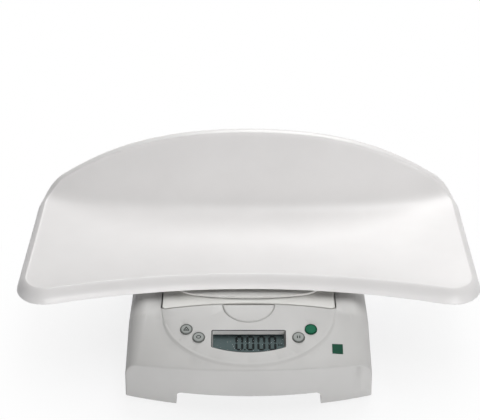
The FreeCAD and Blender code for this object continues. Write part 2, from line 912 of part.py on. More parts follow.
def cell_block(side, z0, z1):
    outer = side * cell_length / 2
    inner = outer - side * spacer_length
    low, high = sorted((outer, inner))
    return box(low, high, cell_y - cell_width / 2, cell_y + cell_width / 2, z0, z1)


def load_cell():
    """An aluminium beam with two bores joined by a slot, which lets its free end sink level."""
    z = cell_z + cell_height / 2
    half = cell_length / 2
    beam = box(-half, half, cell_y - cell_width / 2, cell_y + cell_width / 2, cell_z + seat_gap, cell_z + cell_height)
    y0 = cell_y - cell_width
    for side in (-1, 1):
        x = side * cell_hole_pitch / 2
        beam = beam.cut(Part.makeCylinder(cell_hole_radius, 2 * cell_width, Vector(x, y0, z), Vector(0, 1, 0)))
    beam = beam.cut(
        box(-cell_hole_pitch / 2, cell_hole_pitch / 2, y0, y0 + 2 * cell_width, z - 2, z + 2)
    )
    for x, y in bolt_places(-1):
        beam = beam.cut(rod(x, y, 0, cell_z + bolt_depth, bolt_radius + 0.1))
    for x, y in bolt_places(1):
        beam = beam.cut(rod(x, y, cell_z + cell_height - bolt_depth, big, bolt_radius + 0.1))
    return beam


def lower_spacer():
    block = cell_block(-1, frame_z + frame_thickness + seat_gap, cell_z)
    for x, y in bolt_places(-1):
        block = block.cut(rod(x, y, 0, big, bolt_radius + 0.2))
    return block


def upper_spacer():
    top = cell_z + cell_height
    block = cell_block(1, top + seat_gap, top + spacer_height - seat_gap)
    for x, y in bolt_places(1):
        block = block.cut(rod(x, y, 0, big, bolt_radius + 0.2))
    return block


def lower_bolts():
    return group(
        [
            screw(x, y, frame_z - seat_gap, cell_z + bolt_depth - 1, bolt_radius, bolt_head_radius, bolt_head_height)
            for x, y in bolt_places(-1)
        ]
    )


def upper_bolts():
    tip = cell_z + cell_height - bolt_depth + 1
    return group(
        [
            screw(x, y, plate_top_z, tip, bolt_radius, bolt_head_radius, bolt_head_height)
            for x, y in bolt_places(1)
        ]
    )


def base_frame():
    """Folded steel plate that carries the load cell, with its long edges turned up."""
    y0, y1 = cell_y - frame_half_depth, cell_y + frame_half_depth
    plate = box(-frame_half_width, frame_half_width, y0, y1, frame_z + seat_gap, frame_z + frame_thickness)
    for y in (y0, y1 - frame_thickness):
        edge = box(-frame_half_width, frame_half_width, y, y + frame_thickness, frame_z + seat_gap, frame_z + 12)
        plate = plate.fuse(edge)
    for x, y in frame_screw_places():
        plate = plate.cut(rod(x, y, 0, big, screw_hole_radius))
    for x, y in bolt_places(-1):
        plate = plate.cut(rod(x, y, 0, big, bolt_radius + 0.2))
    for x, y in stop_places():
        plate = plate.cut(rod(x, y, 0, big, stop_radius / 2 + 0.1))
    for side in (-1, 1):
        plate = plate.cut(rod(0, cell_y + side * frame_half_depth / 2, 0, big, 16))
    return plate


def frame_screw_places():
    return four(frame_screw_x, cell_y - frame_screw_y, cell_y + frame_screw_y)


def frame_screws():
    seat = frame_z + frame_thickness + seat_gap
    return group(
        [
            screw(x, y, seat, frame_z - 3, screw_radius, screw_head_radius, screw_head_height)
            for x, y in frame_screw_places()
        ]
    )


def stop_places():
    return four(stop_x, cell_y - stop_y, cell_y + stop_y)


def overload_stops():
    """Studs that the load plate would land on before the cell bends too far."""
    studs = []
    for x, y in stop_places():
        body = rod(x, y, frame_z + frame_thickness + seat_gap, plate_z - stop_gap, stop_radius)
        studs.append(body.fuse(rod(x, y, frame_z - 1, frame_z + frame_thickness + 1, stop_radius / 2)))
    return group(studs)


def cell_lead():
    """Round lead clipped inside the housing: out of the cell, forward, and up to the board."""
    z = cell_z + cell_height / 2
    n0 = board_top_n - board_thickness
    socket_s = (lead_y + n0 * math.sin(panel_angle)) / math.cos(panel_angle)
    end_z = crease_z + socket_s * math.sin(panel_angle) + (n0 - 3) * math.cos(panel_angle) - 1
    start = Vector(-cell_length / 2 - seat_gap, cell_y, z)
    points = [start, Vector(lead_x, cell_y, z), Vector(lead_x, lead_y, z), Vector(lead_x, lead_y, end_z)]
    path = rounded_path(points, lead_bend)
    first = (points[1] - points[0]).normalize()
    profile = Part.Wire([Part.makeCircle(lead_radius, start, first)])
    return path.makePipeShell([profile], True, True)


def rounded_path(points, bend):
    """Straight runs joined by tangent arcs."""
    edges, last = [], points[0]
    for before, corner, after in zip(points, points[1:], points[2:]):
        into = (corner - before).normalize()
        out = (after - corner).normalize()
        limit = 0.45 * min((corner - before).Length, (after - corner).Length)
        half_turn = into.getAngle(out) / 2
        radius = min(bend, limit / math.tan(half_turn))
        cut = radius * math.tan(half_turn)
        start, end = corner - into * cut, corner + out * cut
        middle = corner + (out - into).normalize() * (radius / math.cos(half_turn) - radius)
        edges.append(Part.LineSegment(last, start).toShape())
        edges.append(Part.Arc(start, middle, end).toShape())
        last = end
    edges.append(Part.LineSegment(last, points[-1]).toShape())
    return Part.Wire(edges)


# --- tray ---


def tray_height(x, y):
    """Height of the tray's upper surface: a shallow dish that turns up into the back wall."""
    front = lip_front_y - x * x / (2 * lip_front_radius)
    run = min(max((y - front) / dish_run, 0.0), 1.0)
    span = max(0.0, 1 - (x / lip_half_width) ** 2)
    dish = dish_depth * span * run * (2 - run)
    past_fold = y - fold_y - fold_sweep * (abs(x) / lip_half_width) ** fold_power
    return lip_z - dish + wall_slope / 2 * (past_fold + math.hypot(past_fold, fold_softness))


def tray_gradient(x, y):
    step = 0.5
    along_x = (tray_height(x + step, y) - tray_height(x - step, y)) / (2 * step)
    along_y = (tray_height(x, y + step) - tray_height(x, y - step)) / (2 * step)
    return along_x, along_y


def below_surface(offset):
    """All that lies more than an offset under the tray's upper surface, measured square to it."""
    columns, rows = 14, 24
    half, y0, y1 = lip_half_width + 30, lip_front_y - 50, lip_back_y + 20
    grid = []
    for i in range(columns + 1):
        x = -half + 2 * half * i / columns
        line = []
        for j in range(rows + 1):
            y = y0 + (y1 - y0) * j / rows
            slope_x, slope_y = tray_gradient(x, y)
            drop = offset * math.sqrt(1 + slope_x * slope_x + slope_y * slope_y)
            line.append(Vector(x, y, tray_height(x, y) - drop))
        grid.append(line)
    surface = Part.BSplineSurface()
    surface.interpolate(grid)
    return surface.toShape().extrude(Vector(0, 0, -big / 4))


def lip_prism():
    """A column on the lip's outline: hollow front, straight ends and a bowed back."""
    half = lip_half_width
    front_y = lip_front_y - arc_drop(half, lip_front_radius)
    back_y = lip_back_y - arc_drop(half, lip_back_radius)
    a, b = Vector(-half, front_y, 0), Vector(half, front_y, 0)
    c, d = Vector(half, back_y, 0), Vector(-half, back_y, 0)
    outline = Part.Wire(
        [
            Part.Arc(a, Vector(0, lip_front_y, 0), b).toShape(),
            Part.LineSegment(b, c).toShape(),
            Part.Arc(c, Vector(0, lip_back_y, 0), d).toShape(),
            Part.LineSegment(d, a).toShape(),
        ]
    )
    column = Part.Face(outline).extrude(Vector(0, 0, big / 3))
    tall = big / 3 - 1
    column = rounded(column, lip_front_corner, lambda b_: b_.ZLength > tall and b_.YMax < lip_front_y)
    return rounded(
        column,
        lip_back_corner,
        lambda b_: b_.ZLength > tall and b_.YMin > back_y - 1 and abs(b_.Center.x) > half - 1,
    )


def lip_stations():
    """Places along the right half of the lip with their directions, front to back."""
    floor = [face for face in lip_prism().Faces if face.BoundBox.ZMax < 1][0]
    half = floor.common(box(0, big, -big, big, -1, 1))
    rest = [edge for edge in half.Edges if edge.BoundBox.XMax > 0.001]
    here = Vector(0, lip_front_y, 0)
    stations = []
    while rest:
        edge = min(rest, key=lambda e: min(v.Point.distanceToPoint(here) for v in e.Vertexes))
        rest.remove(edge)
        first, last = edge.FirstParameter, edge.LastParameter
        backwards = edge.valueAt(last).distanceToPoint(here) < edge.valueAt(first).distanceToPoint(here)
        if backwards:
            first, last = last, first
        corner = edge.Length < 3 * lip_back_corner and edge.Curve.TypeId == "Part::GeomCircle"
        count = corner_stations if corner else max(2, math.ceil(edge.Length / station_spacing))
        for i in range(count + (0 if rest else 1)):
            at = first + (last - first) * i / count
            way = edge.tangentAt(at) * (-1 if backwards else 1)
            stations.append((edge.valueAt(at), way))
        here = edge.valueAt(last)
    return stations


def reflected(stations):
    """The same places on the left, run through in the same sense round the tray."""
    return [(Vector(-p.x, p.y, p.z), Vector(w.x, -w.y, w.z)) for p, w in reversed(stations)]


def flange_half():
    """The right half, lofted a little past the middle so that the two halves meet smoothly."""
    stations = lip_stations()
    stations = reflected(stations[1:3]) + stations + reflected(stations[-3:-1])
    ring = Part.makeLoft([flange_section(*station) for station in stations], True, False)
    return ring.common(box(0, big, -big, big, -big, big))


def flange_section(place, way):
    """The flange's cross-section, which leans with the surface that it hangs from."""
    outward = Vector(way.y, -way.x, 0).normalize()
    slope_x, slope_y = tray_gradient(place.x, place.y)
    lean = math.atan(slope_x * outward.x + slope_y * outward.y)
    along = outward * math.cos(lean) + Vector(0, 0, math.sin(lean))
    up = outward * -math.sin(lean) + Vector(0, 0, math.cos(lean))
    share = 1 - (1 - flange_back_share) * max(0.0, math.sin(lean)) / math.sin(wall_angle)
    out, drop, bow = flange_out * share, flange_drop * share, flange_bow * share
    length = math.hypot(out, drop)
    bow_out, bow_up = bow * drop / length, bow * out / length
    thin = tray_wall * 0.85
    profile = [
        (0, rim_bead),
        (out / 2 + bow_out, rim_bead - drop / 2 + bow_up),
        (out, rim_bead - drop),
        (out - thin, rim_bead - drop),
        (out / 2 + bow_out - thin, rim_bead - drop / 2 + bow_up - thin / 2),
        (-tray_wall / 2, -tray_wall - rim_bead / 2),
        (-tray_wall * 1.3, -tray_wall / 2),
    ]
    lip = Vector(place.x, place.y, tray_height(place.x, place.y))
    points = [lip + along * a + up * b for a, b in profile]
    return Part.makePolygon(points + [points[0]])


def weighing_tray():
    """Dished seat, high back wall with an arched rim, and a flange that runs all the way round."""
    shell = lip_prism().common(below_surface(0)).cut(below_surface(tray_wall))
    right = flange_half()
    tray = shell.fuse([right, right.mirror(Vector(0, 0, 0), Vector(1, 0, 0))])
    inside = below_surface(tray_wall / 2)
    for x, y in tray_boss_places():
        boss = rod(x, y, foot_plate_z + plate_thickness + seat_gap, lip_z, tray_boss_radius)
        tray = tray.fuse(boss.common(inside))
    for x, y in tray_boss_places():
        tray = tray.cut(rod(x, y, 0, foot_plate_z + plate_thickness + 7, pilot_radius))
    return tray


def tray_boss_places():
    return four(tray_boss_x, tray_boss_front_y, tray_boss_back_y)


def bowed_block(half, front, back, corner, z0, z1):
    """A block with straight sides, and a front and a back that bow outward."""
    drop = arc_drop(half, plate_front_radius)
    a, b = Vector(-half, front + drop, z0), Vector(half, front + drop, z0)
    c, d = Vector(half, back - drop, z0), Vector(-half, back - drop, z0)
    outline = Part.Wire(
        [
            Part.Arc(a, Vector(0, front, z0), b).toShape(),
            Part.LineSegment(b, c).toShape(),
            Part.Arc(c, Vector(0, back, z0), d).toShape(),
            Part.LineSegment(d, a).toShape(),
        ]
    )
    solid = Part.Face(outline).extrude(Vector(0, 0, z1 - z0))
    return rounded(solid, corner, lambda b_: b_.XLength < 0.1 and b_.YLength < 0.1)


def collar_block(inset, z0, z1):
    front, back = collar_front_y + inset, collar_back_y - inset
    return bowed_block(collar_half_width - inset, front, back, collar_corner - inset, z0, z1)


def foot_plate():
    """The plate under the tray: it stands on the platform, and its hook goes into the catch."""
    top = foot_plate_z + plate_thickness
    plate = bowed_block(plate_half_width, plate_front_y, plate_back_y, plate_corner, foot_plate_z, top)
    ring = collar_block(0, foot_plate_z, lip_z).cut(collar_block(tray_wall, 0, big))
    plate = plate.fuse(ring.common(below_surface(tray_wall + 4 * seat_gap)))
    middle_y = (tray_boss_front_y + tray_boss_back_y) / 2
    plate = plate.cut(rod(0, middle_y, 0, big, tray_boss_x * 0.5))
    hook = box(-hook_half_width, hook_half_width, hook_front_y, hook_back_y, hook_bottom_z, foot_plate_z + 1)
    half = nose_half_width + nose_gap
    reach = hook_back_y - nose_reach - nose_gap
    notch_top = slider_bottom_z + slider_thickness + nose_gap
    hook = hook.cut(box(-half, half, reach, hook_back_y + 1, hook_bottom_z - 1, notch_top))
    pegs = [rod(x, peg_y, peg_bottom_z, foot_plate_z + 1, peg_radius) for x in (-peg_x, peg_x)]
    plate = plate.fuse([hook] + pegs)
    cuts = [rod(x, y, 0, big, screw_hole_radius) for x, y in tray_boss_places()]
    cuts += [rod(x, y, 0, foot_plate_z + 1.4, counterbore_radius) for x, y in tray_boss_places()]
    cuts += [rod(x, y, 0, foot_plate_z + pad_recess, pad_disc_radius + seat_gap) for x, y in disc_places()]
    return plate.cut(cuts)


def foot_plate_screws():
    seat = foot_plate_z + 1.4 - seat_gap
    return group([screw(x, y, seat, seat + 7, screw_radius, screw_head_radius, 1.3) for x, y in tray_boss_places()])


def disc_places():
    return four(pad_disc_x, pad_disc_front_y, pad_disc_back_y)


def foot_plate_pads():
    top = foot_plate_z + pad_recess - seat_gap
    return group([rod(x, y, platform_z + seat_gap, top, pad_disc_radius) for x, y in disc_places()])


pieces = {
    "weighing_tray": weighing_tray,
    "foot_plate": foot_plate,
    "foot_plate_screws": foot_plate_screws,
    "foot_plate_pads": foot_plate_pads,
    "platform_cover": platform_cover,
    "load_plate": load_plate,
    "cover_screws": cover_screws,
    "upper_spacer": upper_spacer,
    "upper_bolts": upper_bolts,
    "catch_guide": catch_guide,
    "catch_slider": catch_slider,
    "catch_spring": catch_spring,
    "upper_casing": upper_casing,
    "release_pad": release_pad,
    "display_lens": display_lens,
    "lcd_panel": lcd_panel,
    "display_frame": display_frame,
    "circuit_board": circuit_board,
    "board_screws": board_screws,
    "key_mat": key_mat,
    "sticker": sticker,
    "base_pan": base_pan,
    "rubber_feet": rubber_feet,
    "casing_screws": casing_screws,
    "battery_box": battery_box,
    "battery_cells": battery_cells,
    "battery_contacts": battery_contacts,
    "battery_cover": battery_cover,
    "base_frame": base_frame,
    "frame_screws": frame_screws,
    "load_cell": load_cell,
    "lower_spacer": lower_spacer,
    "lower_bolts": lower_bolts,
    "overload_stops": overload_stops,
    "cell_lead": cell_lead,
}
for key_name, key_place in key_places().items():
    pieces[key_name] = lambda place=key_place: push_key(*place)


def overall_depth():
    """From the base's front to the back of the tray's flange, at the middle."""
    out = flange_out * flange_back_share
    drop = flange_drop * flange_back_share
    return lip_back_y + out * math.cos(wall_angle) + (drop - rim_bead) * math.sin(wall_angle)


os.makedirs("parts", exist_ok=True)
to_middle = Vector(0, -overall_depth() / 2, 0)
for name, make in pieces.items():
    shape = make()
    shape.translate(to_middle)
    shape.exportStep(os.path.join("parts", name + ".step"))
    print(name, len(shape.Solids), round(shape.Volume), shape.isValid())
print("row frame: move Y by", round(to_middle.y, 3))
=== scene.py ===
import math

import bmesh
import bpy
from mathutils import Matrix, Vector
from mathutils.bvhtree import BVHTree


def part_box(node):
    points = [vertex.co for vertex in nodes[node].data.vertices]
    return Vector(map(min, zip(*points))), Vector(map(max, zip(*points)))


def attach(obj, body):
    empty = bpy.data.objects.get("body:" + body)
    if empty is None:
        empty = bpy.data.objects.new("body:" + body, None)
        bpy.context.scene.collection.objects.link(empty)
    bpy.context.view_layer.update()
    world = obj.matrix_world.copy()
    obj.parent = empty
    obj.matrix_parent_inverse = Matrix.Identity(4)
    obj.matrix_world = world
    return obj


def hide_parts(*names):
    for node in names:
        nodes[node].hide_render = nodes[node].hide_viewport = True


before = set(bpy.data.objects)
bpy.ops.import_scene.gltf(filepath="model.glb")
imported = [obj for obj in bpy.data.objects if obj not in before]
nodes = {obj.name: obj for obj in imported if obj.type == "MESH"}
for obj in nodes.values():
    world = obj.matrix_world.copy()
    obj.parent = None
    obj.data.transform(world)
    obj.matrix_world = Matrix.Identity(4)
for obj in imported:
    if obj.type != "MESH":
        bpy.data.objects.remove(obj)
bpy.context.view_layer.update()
print("frame loaded:", len(nodes), "nodes")

# New pieces are drawn in millimetres with y = 0 at the base's front, then placed once.
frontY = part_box("upper_casing")[0][1]
toRow = Matrix.Translation((0, frontY, 0)) @ Matrix.Scale(0.001, 4)
# The sloping front panel, from the crease at its foot to the seam at its top.
panel = {"creaseZ": 57.2, "seamY": 91.7, "shoulderZ": 81.2}
panelAngle = math.atan2(panel["shoulderZ"] - panel["creaseZ"], panel["seamY"])
toPanel = toRow @ Matrix.Translation((0, 0, panel["creaseZ"])) @ Matrix.Rotation(panelAngle, 4, "X")


def linearColour(hexText):
    parts = [int(hexText[i : i + 2], 16) / 255 for i in (1, 3, 5)]
    return [p / 12.92 if p <= 0.04045 else ((p + 0.055) / 1.055) ** 2.4 for p in parts] + [1.0]


def setStops(elements, stops):
    # Each stop is a place with a colour, or with a plain grey value.
    while len(elements) < len(stops):
        elements.new(0.5)
    for element, (place, colour) in zip(elements, stops):
        element.position = place
        element.color = linearColour(colour) if isinstance(colour, str) else (colour, colour, colour, 1)


def addNode(tree, kind, settings=None, links=None):
    node = tree.nodes.new(kind)
    for name, value in (settings or {}).items():
        if name == "stops":
            setStops(node.color_ramp.elements, value)
        elif isinstance(name, str) and hasattr(node, name):
            setattr(node, name, value)
        else:
            node.inputs[name].default_value = value
    for name, socket in (links or {}).items():
        tree.links.new(socket, node.inputs[name])
    return node


def newMaterial(name):
    material = bpy.data.materials.new(name)
    material.use_nodes = True
    tree = material.node_tree
    tree.nodes.clear()
    where = addNode(tree, "ShaderNodeTexCoord")
    return material, tree, where.outputs["Object"]


def closeMaterial(tree, surface, normal=None):
    if normal is not None:
        tree.links.new(normal, surface.inputs["Normal"])
    addNode(tree, "ShaderNodeOutputMaterial", links={"Surface": surface.outputs["BSDF"]})


# How often a pattern repeats in a metre: 14 is a drift over about 70 mm, 900 a fibre of about 1 mm.
perMetre = {
    "tintDrift": 14,
    "handling": 30,
    "metalCloud": 60,
    "windowHaze": 40,
    "lcdMottle": 260,
    "inkMottle": 500,
    "boardWeave": 180,
    "paperFibre": 900,
}

# Moulded plastic: a satin skin from a spark-eroded mould, so a fine grain breaks up every
# reflection, and the tint drifts a little from place to place. grainMm is the grain's size and depth.
plastics = {
    # a soft white glow with no mirror image
    "trayAbsSatin": {"tints": ("#EDEBEA", "#EAE8E7"), "rough": (0.34, 0.42), "grainMm": (0.9, 0.012)},
    "footAbsSatin": {"tints": ("#D6D5D2", "#D2D1CE"), "rough": (0.40, 0.48), "grainMm": (0.9, 0.014)},
    # warm light grey, dull and finely sanded
    "casingAbsEroded": {"tints": ("#C7C6C4", "#C3C2C0"), "rough": (0.44, 0.54), "grainMm": (0.8, 0.022)},
    # the casing's plastic painted paler on the platform cover, as painted light against the tray's shade
    # over it
    "coverAbsPaintedLighter": {"tints": ("#D9D8D4", "#D5D4D0"), "rough": (0.44, 0.54), "grainMm": (0.8, 0.022)},
    "panAbsEroded": {"tints": ("#CFCFCC", "#C8C8C5"), "rough": (0.52, 0.62), "grainMm": (1.0, 0.030)},
    # the waxy off-white of a sliding part
    "catchPomNatural": {"tints": ("#DAD8D0", "#D2D0C8"), "rough": (0.36, 0.46), "grainMm": (1.2, 0.010)},
    # key caps that read as flat colour inside a darker rim, the rim being painted shade of the gap round
    # each key
    "keyCapGrey": {
        "tints": ("#A2A6A3", "#9A9E9B"),
        "rough": (0.46, 0.54),
        "grainMm": (0.5, 0.010),
        "shine": 0.25,
    },
    "keyRimGrey": {
        "tints": ("#6B6E6B", "#646764"),
        "rough": (0.52, 0.60),
        "grainMm": (0.5, 0.010),
        "shine": 0.25,
    },
    "keyCapGreen": {
        "tints": ("#046A4B", "#036345"),
        "rough": (0.46, 0.54),
        "grainMm": (0.5, 0.010),
        "shine": 0.1,
    },
    # the power key's rim, painted darker green as shade of the gap round it
    "keyRimGreen": {
        "tints": ("#044A34", "#03432E"),
        "rough": (0.52, 0.60),
        "grainMm": (0.5, 0.010),
        "shine": 0.1,
    },
    # printed film and ink: an even colour with hardly any gloss
    "filmGreen": {
        "tints": ("#0C4A35", "#0A4230"),
        "rough": (0.40, 0.48),
        "grainMm": (0.5, 0.004),
        "shine": 0.1,
    },
    "keySymbolInk": {
        "tints": ("#2F3332", "#292D2C"),
        "rough": (0.55, 0.65),
        "grainMm": (0.4, 0.004),
        "shine": 0.1,
    },
    # a soft milky skin, then matt black rubber with a coarse grain, also used for the painted gap shadow
    # round the window
    "siliconeWhite": {"tints": ("#D3D2CE", "#CAC9C5"), "rough": (0.60, 0.70), "grainMm": (1.5, 0.012)},
    "rubberBlackAndGapShadow": {"tints": ("#232424", "#1B1C1C"), "rough": (0.72, 0.86), "grainMm": (0.8, 0.050)},
    # a glossy shrink sleeve, a dull lead jacket and the dark frame round the glass
    "cellSleeve": {"tints": ("#3A4048", "#2F343B"), "rough": (0.28, 0.36), "grainMm": (2.0, 0.006)},
    "leadPvc": {"tints": ("#5A5C5E", "#515355"), "rough": (0.46, 0.56), "grainMm": (1.0, 0.015)},
    "lcdBezel": {"tints": ("#2A2D2D", "#242727"), "rough": (0.42, 0.52), "grainMm": (0.8, 0.012)},
}


def plasticMaterial(name):
    look = plastics[name]
    light, dark = look["tints"]
    low, high = look["rough"]
    sizeMm, depthMm = look["grainMm"]
    material, tree, where = newMaterial(name)
    drift = addNode(
        tree,
        "ShaderNodeTexNoise",
        {"Scale": perMetre["tintDrift"], "Detail": 3, "Roughness": 0.55},
        {"Vector": where},
    )
    tint = addNode(
        tree,
        "ShaderNodeValToRGB",
        {"stops": [(0.36, light), (0.64, dark)]},
        {"Fac": drift.outputs["Fac"]},
    )
    grain = addNode(tree, "ShaderNodeTexNoise", {"Scale": 1000 / sizeMm, "Detail": 2}, {"Vector": where})
    handled = addNode(
        tree,
        "ShaderNodeTexNoise",
        {"Scale": perMetre["handling"], "Detail": 4, "Roughness": 0.6},
        {"Vector": where},
    )
    rough = addNode(
        tree,
        "ShaderNodeMapRange",
        {"From Min": 0.3, "From Max": 0.7, "To Min": low, "To Max": high},
        {"Value": handled.outputs["Fac"]},
    )
    bump = addNode(
        tree,
        "ShaderNodeBump",
        {"Strength": 0.6, "Distance": depthMm / 1000},
        {"Height": grain.outputs["Fac"]},
    )
    surface = addNode(
        tree,
        "ShaderNodeBsdfPrincipled",
        {"IOR": 1.53, "Specular IOR Level": look.get("shine", 0.5)},
        {"Base Color": tint.outputs["Color"], "Roughness": rough.outputs["Result"]},
    )
    closeMaterial(tree, surface, bump.outputs["Normal"])
    return material


# Metals: grain runs along x, as on sheet that comes off a roll, or round a turned screw.
metals = {
    # the cool dull silver of zinc, on sheet and on screws
    "zincPlatedSheet": {
        "tints": ("#B9BCBE", "#A2A6A9"),
        "rough": (0.30, 0.44),
        "grainMm": 0.6,
        "stretch": 0.05,
    },
    "zincPlatedScrew": {
        "tints": ("#C4C6C8", "#A9ACAF"),
        "rough": (0.24, 0.36),
        "grainMm": 0.4,
        "stretch": 1.0,
    },
    # the paler brushed look of a milled block, then darker drawn wire
    "milledAluminium": {
        "tints": ("#D0D2D4", "#BFC2C4"),
        "rough": (0.28, 0.38),
        "grainMm": 0.5,
        "stretch": 0.08,
    },
    "springSteel": {
        "tints": ("#9A9C9E", "#808284"),
        "rough": (0.22, 0.32),
        "grainMm": 0.3,
        "stretch": 1.0,
    },
}


def metalMaterial(name):
    look = metals[name]
    light, dark = look["tints"]
    low, high = look["rough"]
    material, tree, where = newMaterial(name)
    run = addNode(tree, "ShaderNodeMapping", {"Scale": (look["stretch"], 1, 1)}, {"Vector": where})
    grain = addNode(
        tree,
        "ShaderNodeTexNoise",
        {"Scale": 1000 / look["grainMm"], "Detail": 3},
        {"Vector": run.outputs["Vector"]},
    )
    cloud = addNode(
        tree,
        "ShaderNodeTexNoise",
        {"Scale": perMetre["metalCloud"], "Detail": 4},
        {"Vector": where},
    )
    tint = addNode(
        tree,
        "ShaderNodeValToRGB",
        {"stops": [(0.35, light), (0.65, dark)]},
        {"Fac": cloud.outputs["Fac"]},
    )
    rough = addNode(
        tree,
        "ShaderNodeMapRange",
        {"From Min": 0.3, "From Max": 0.7, "To Min": low, "To Max": high},
        {"Value": grain.outputs["Fac"]},
    )
    bump = addNode(
        tree,
        "ShaderNodeBump",
        {"Strength": 0.5, "Distance": 0.00001},
        {"Height": grain.outputs["Fac"]},
    )
    surface = addNode(
        tree,
        "ShaderNodeBsdfPrincipled",
        {"Metallic": 1.0},
        {"Base Color": tint.outputs["Color"], "Roughness": rough.outputs["Result"]},
    )
    closeMaterial(tree, surface, bump.outputs["Normal"])
    return material


def windowMaterial():
    # Polished acrylic window: nearly all of the light goes straight through, and the rest glints.
    material, tree, where = newMaterial("windowAcrylicPolished")
    haze = addNode(
        tree,
        "ShaderNodeTexNoise",
        {"Scale": perMetre["windowHaze"], "Detail": 4},
        {"Vector": where},
    )
    rough = addNode(
        tree,
        "ShaderNodeMapRange",
        {"From Min": 0.3, "From Max": 0.7, "To Min": 0.04, "To Max": 0.09},
        {"Value": haze.outputs["Fac"]},
    )
    tint = addNode(
        tree,
        "ShaderNodeValToRGB",
        {"stops": [(0.3, "#A9B2B0"), (0.7, "#A1AAA8")]},
        {"Fac": haze.outputs["Fac"]},
    )
    surface = addNode(
        tree,
        "ShaderNodeBsdfPrincipled",
        {"IOR": 1.49, "Alpha": 0.02, "Specular IOR Level": 0.2},
        {"Base Color": tint.outputs["Color"], "Roughness": rough.outputs["Result"]},
    )
    closeMaterial(tree, surface)
    return material


# Liquid crystal glass: grey-green with a faint mottle, and a painted shadow that darkens it towards its
# top edge, under the window's upper wall. The painted shadow runs between two distances behind the base's
# front, in metres.
lcdGlass = {
    "topShadowY": (0.024, 0.057),
    # the last, darkest stop is the painted shadow along the top edge
    "tones": [(0.0, "#5A6B6C"), (0.75, "#566667"), (0.97, "#343F40")],
    "mottle": [(0.3, 0.92), (0.7, 1.0)],
}


def lcdMaterial():
    material, tree, where = newMaterial("lcdGlassGreyGreenTopShadow")
    near, far = lcdGlass["topShadowY"]
    split = addNode(tree, "ShaderNodeSeparateXYZ", links={"Vector": where})
    rise = addNode(
        tree,
        "ShaderNodeMapRange",
        {"From Min": frontY + near, "From Max": frontY + far, "To Min": 0.0, "To Max": 1.0},
        {"Value": split.outputs["Y"]},
    )
    tone = addNode(
        tree,
        "ShaderNodeValToRGB",
        {"stops": lcdGlass["tones"]},
        {"Fac": rise.outputs["Result"]},
    )
    mottle = addNode(
        tree,
        "ShaderNodeTexNoise",
        {"Scale": perMetre["lcdMottle"], "Detail": 3},
        {"Vector": where},
    )
    speck = addNode(
        tree,
        "ShaderNodeValToRGB",
        {"stops": lcdGlass["mottle"]},
        {"Fac": mottle.outputs["Fac"]},
    )
    colour = addNode(
        tree,
        "ShaderNodeMix",
        {"data_type": "RGBA", "blend_type": "MULTIPLY", 0: 1.0},
        {6: tone.outputs["Color"], 7: speck.outputs["Color"]},
    )
    surface = addNode(
        tree,
        "ShaderNodeBsdfPrincipled",
        {"Roughness": 0.6, "IOR": 1.5, "Specular IOR Level": 0.05},
        {"Base Color": colour.outputs[2]},
    )
    closeMaterial(tree, surface)
    return material


def inkMaterial():
    # Switched-on segments: near black with a cold cast, matt because the polariser scatters light.
    material, tree, where = newMaterial("lcdSegmentInk")
    mottle = addNode(
        tree,
        "ShaderNodeTexNoise",
        {"Scale": perMetre["inkMottle"], "Detail": 2},
        {"Vector": where},
    )
    tint = addNode(
        tree,
        "ShaderNodeValToRGB",
        {"stops": [(0.3, "#0A0F10"), (0.7, "#0F1516")]},
        {"Fac": mottle.outputs["Fac"]},
    )
    surface = addNode(
        tree,
        "ShaderNodeBsdfPrincipled",
        {"Roughness": 0.7, "IOR": 1.5, "Specular IOR Level": 0.05},
        {"Base Color": tint.outputs["Color"]},
    )
    closeMaterial(tree, surface)
    return material


def boardMaterial():
    # Glass-fibre laminate under green solder mask: tracks and pads show as a paler weave.
    material, tree, where = newMaterial("boardSolderMask")
    brick = addNode(
        tree,
        "ShaderNodeTexBrick",
        {
            "Scale": perMetre["boardWeave"],
            "Mortar Size": 0.06,
            "Color1": linearColour("#1C5A3A"),
            "Color2": linearColour("#185034"),
            "Mortar": linearColour("#2E7A4E"),
        },
        {"Vector": where},
    )
    bump = addNode(
        tree,
        "ShaderNodeBump",
        {"Strength": 0.3, "Distance": 0.00004},
        {"Height": brick.outputs["Fac"]},
    )
    surface = addNode(
        tree,
        "ShaderNodeBsdfPrincipled",
        {"Roughness": 0.35},
        {"Base Color": brick.outputs["Color"]},
    )
    closeMaterial(tree, surface, bump.outputs["Normal"])
    return material


materials = {name: plasticMaterial(name) for name in plastics}
materials.update({name: metalMaterial(name) for name in metals})
materials["windowAcrylicPolished"] = windowMaterial()
materials["lcdGlassGreyGreenTopShadow"] = lcdMaterial()
materials["lcdSegmentInk"] = inkMaterial()
materials["boardSolderMask"] = boardMaterial()
print("materials made:", len(materials))


def finishPiece(bm, name, material, body, place=toRow, smoothAngle=35):
    bmesh.ops.transform(bm, matrix=place, verts=bm.verts)
    mesh = bpy.data.meshes.new(name)
    bm.to_mesh(mesh)
    bm.free()
    mesh.shade_smooth()
    mesh.set_sharp_from_angle(angle=math.radians(smoothAngle))
    for one in material.split("+"):
        mesh.materials.append(materials[one])
    piece = bpy.data.objects.new(name, mesh)
    bpy.context.scene.collection.objects.link(piece)
    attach(piece, body)
    return piece


def softenEdges(piece, widthMm, angle=32):
    bevel = piece.modifiers.new("softEdges", "BEVEL")
    bevel.width = widthMm / 1000
    bevel.segments = 2
    bevel.limit_method = "ANGLE"
    bevel.angle_limit = math.radians(angle)
    bevel.harden_normals = True


def faceUpwards(bm):
    bmesh.ops.recalc_face_normals(bm, faces=bm.faces)
    if sum(face.normal.z for face in bm.faces) < 0:
        bmesh.ops.reverse_faces(bm, faces=bm.faces)


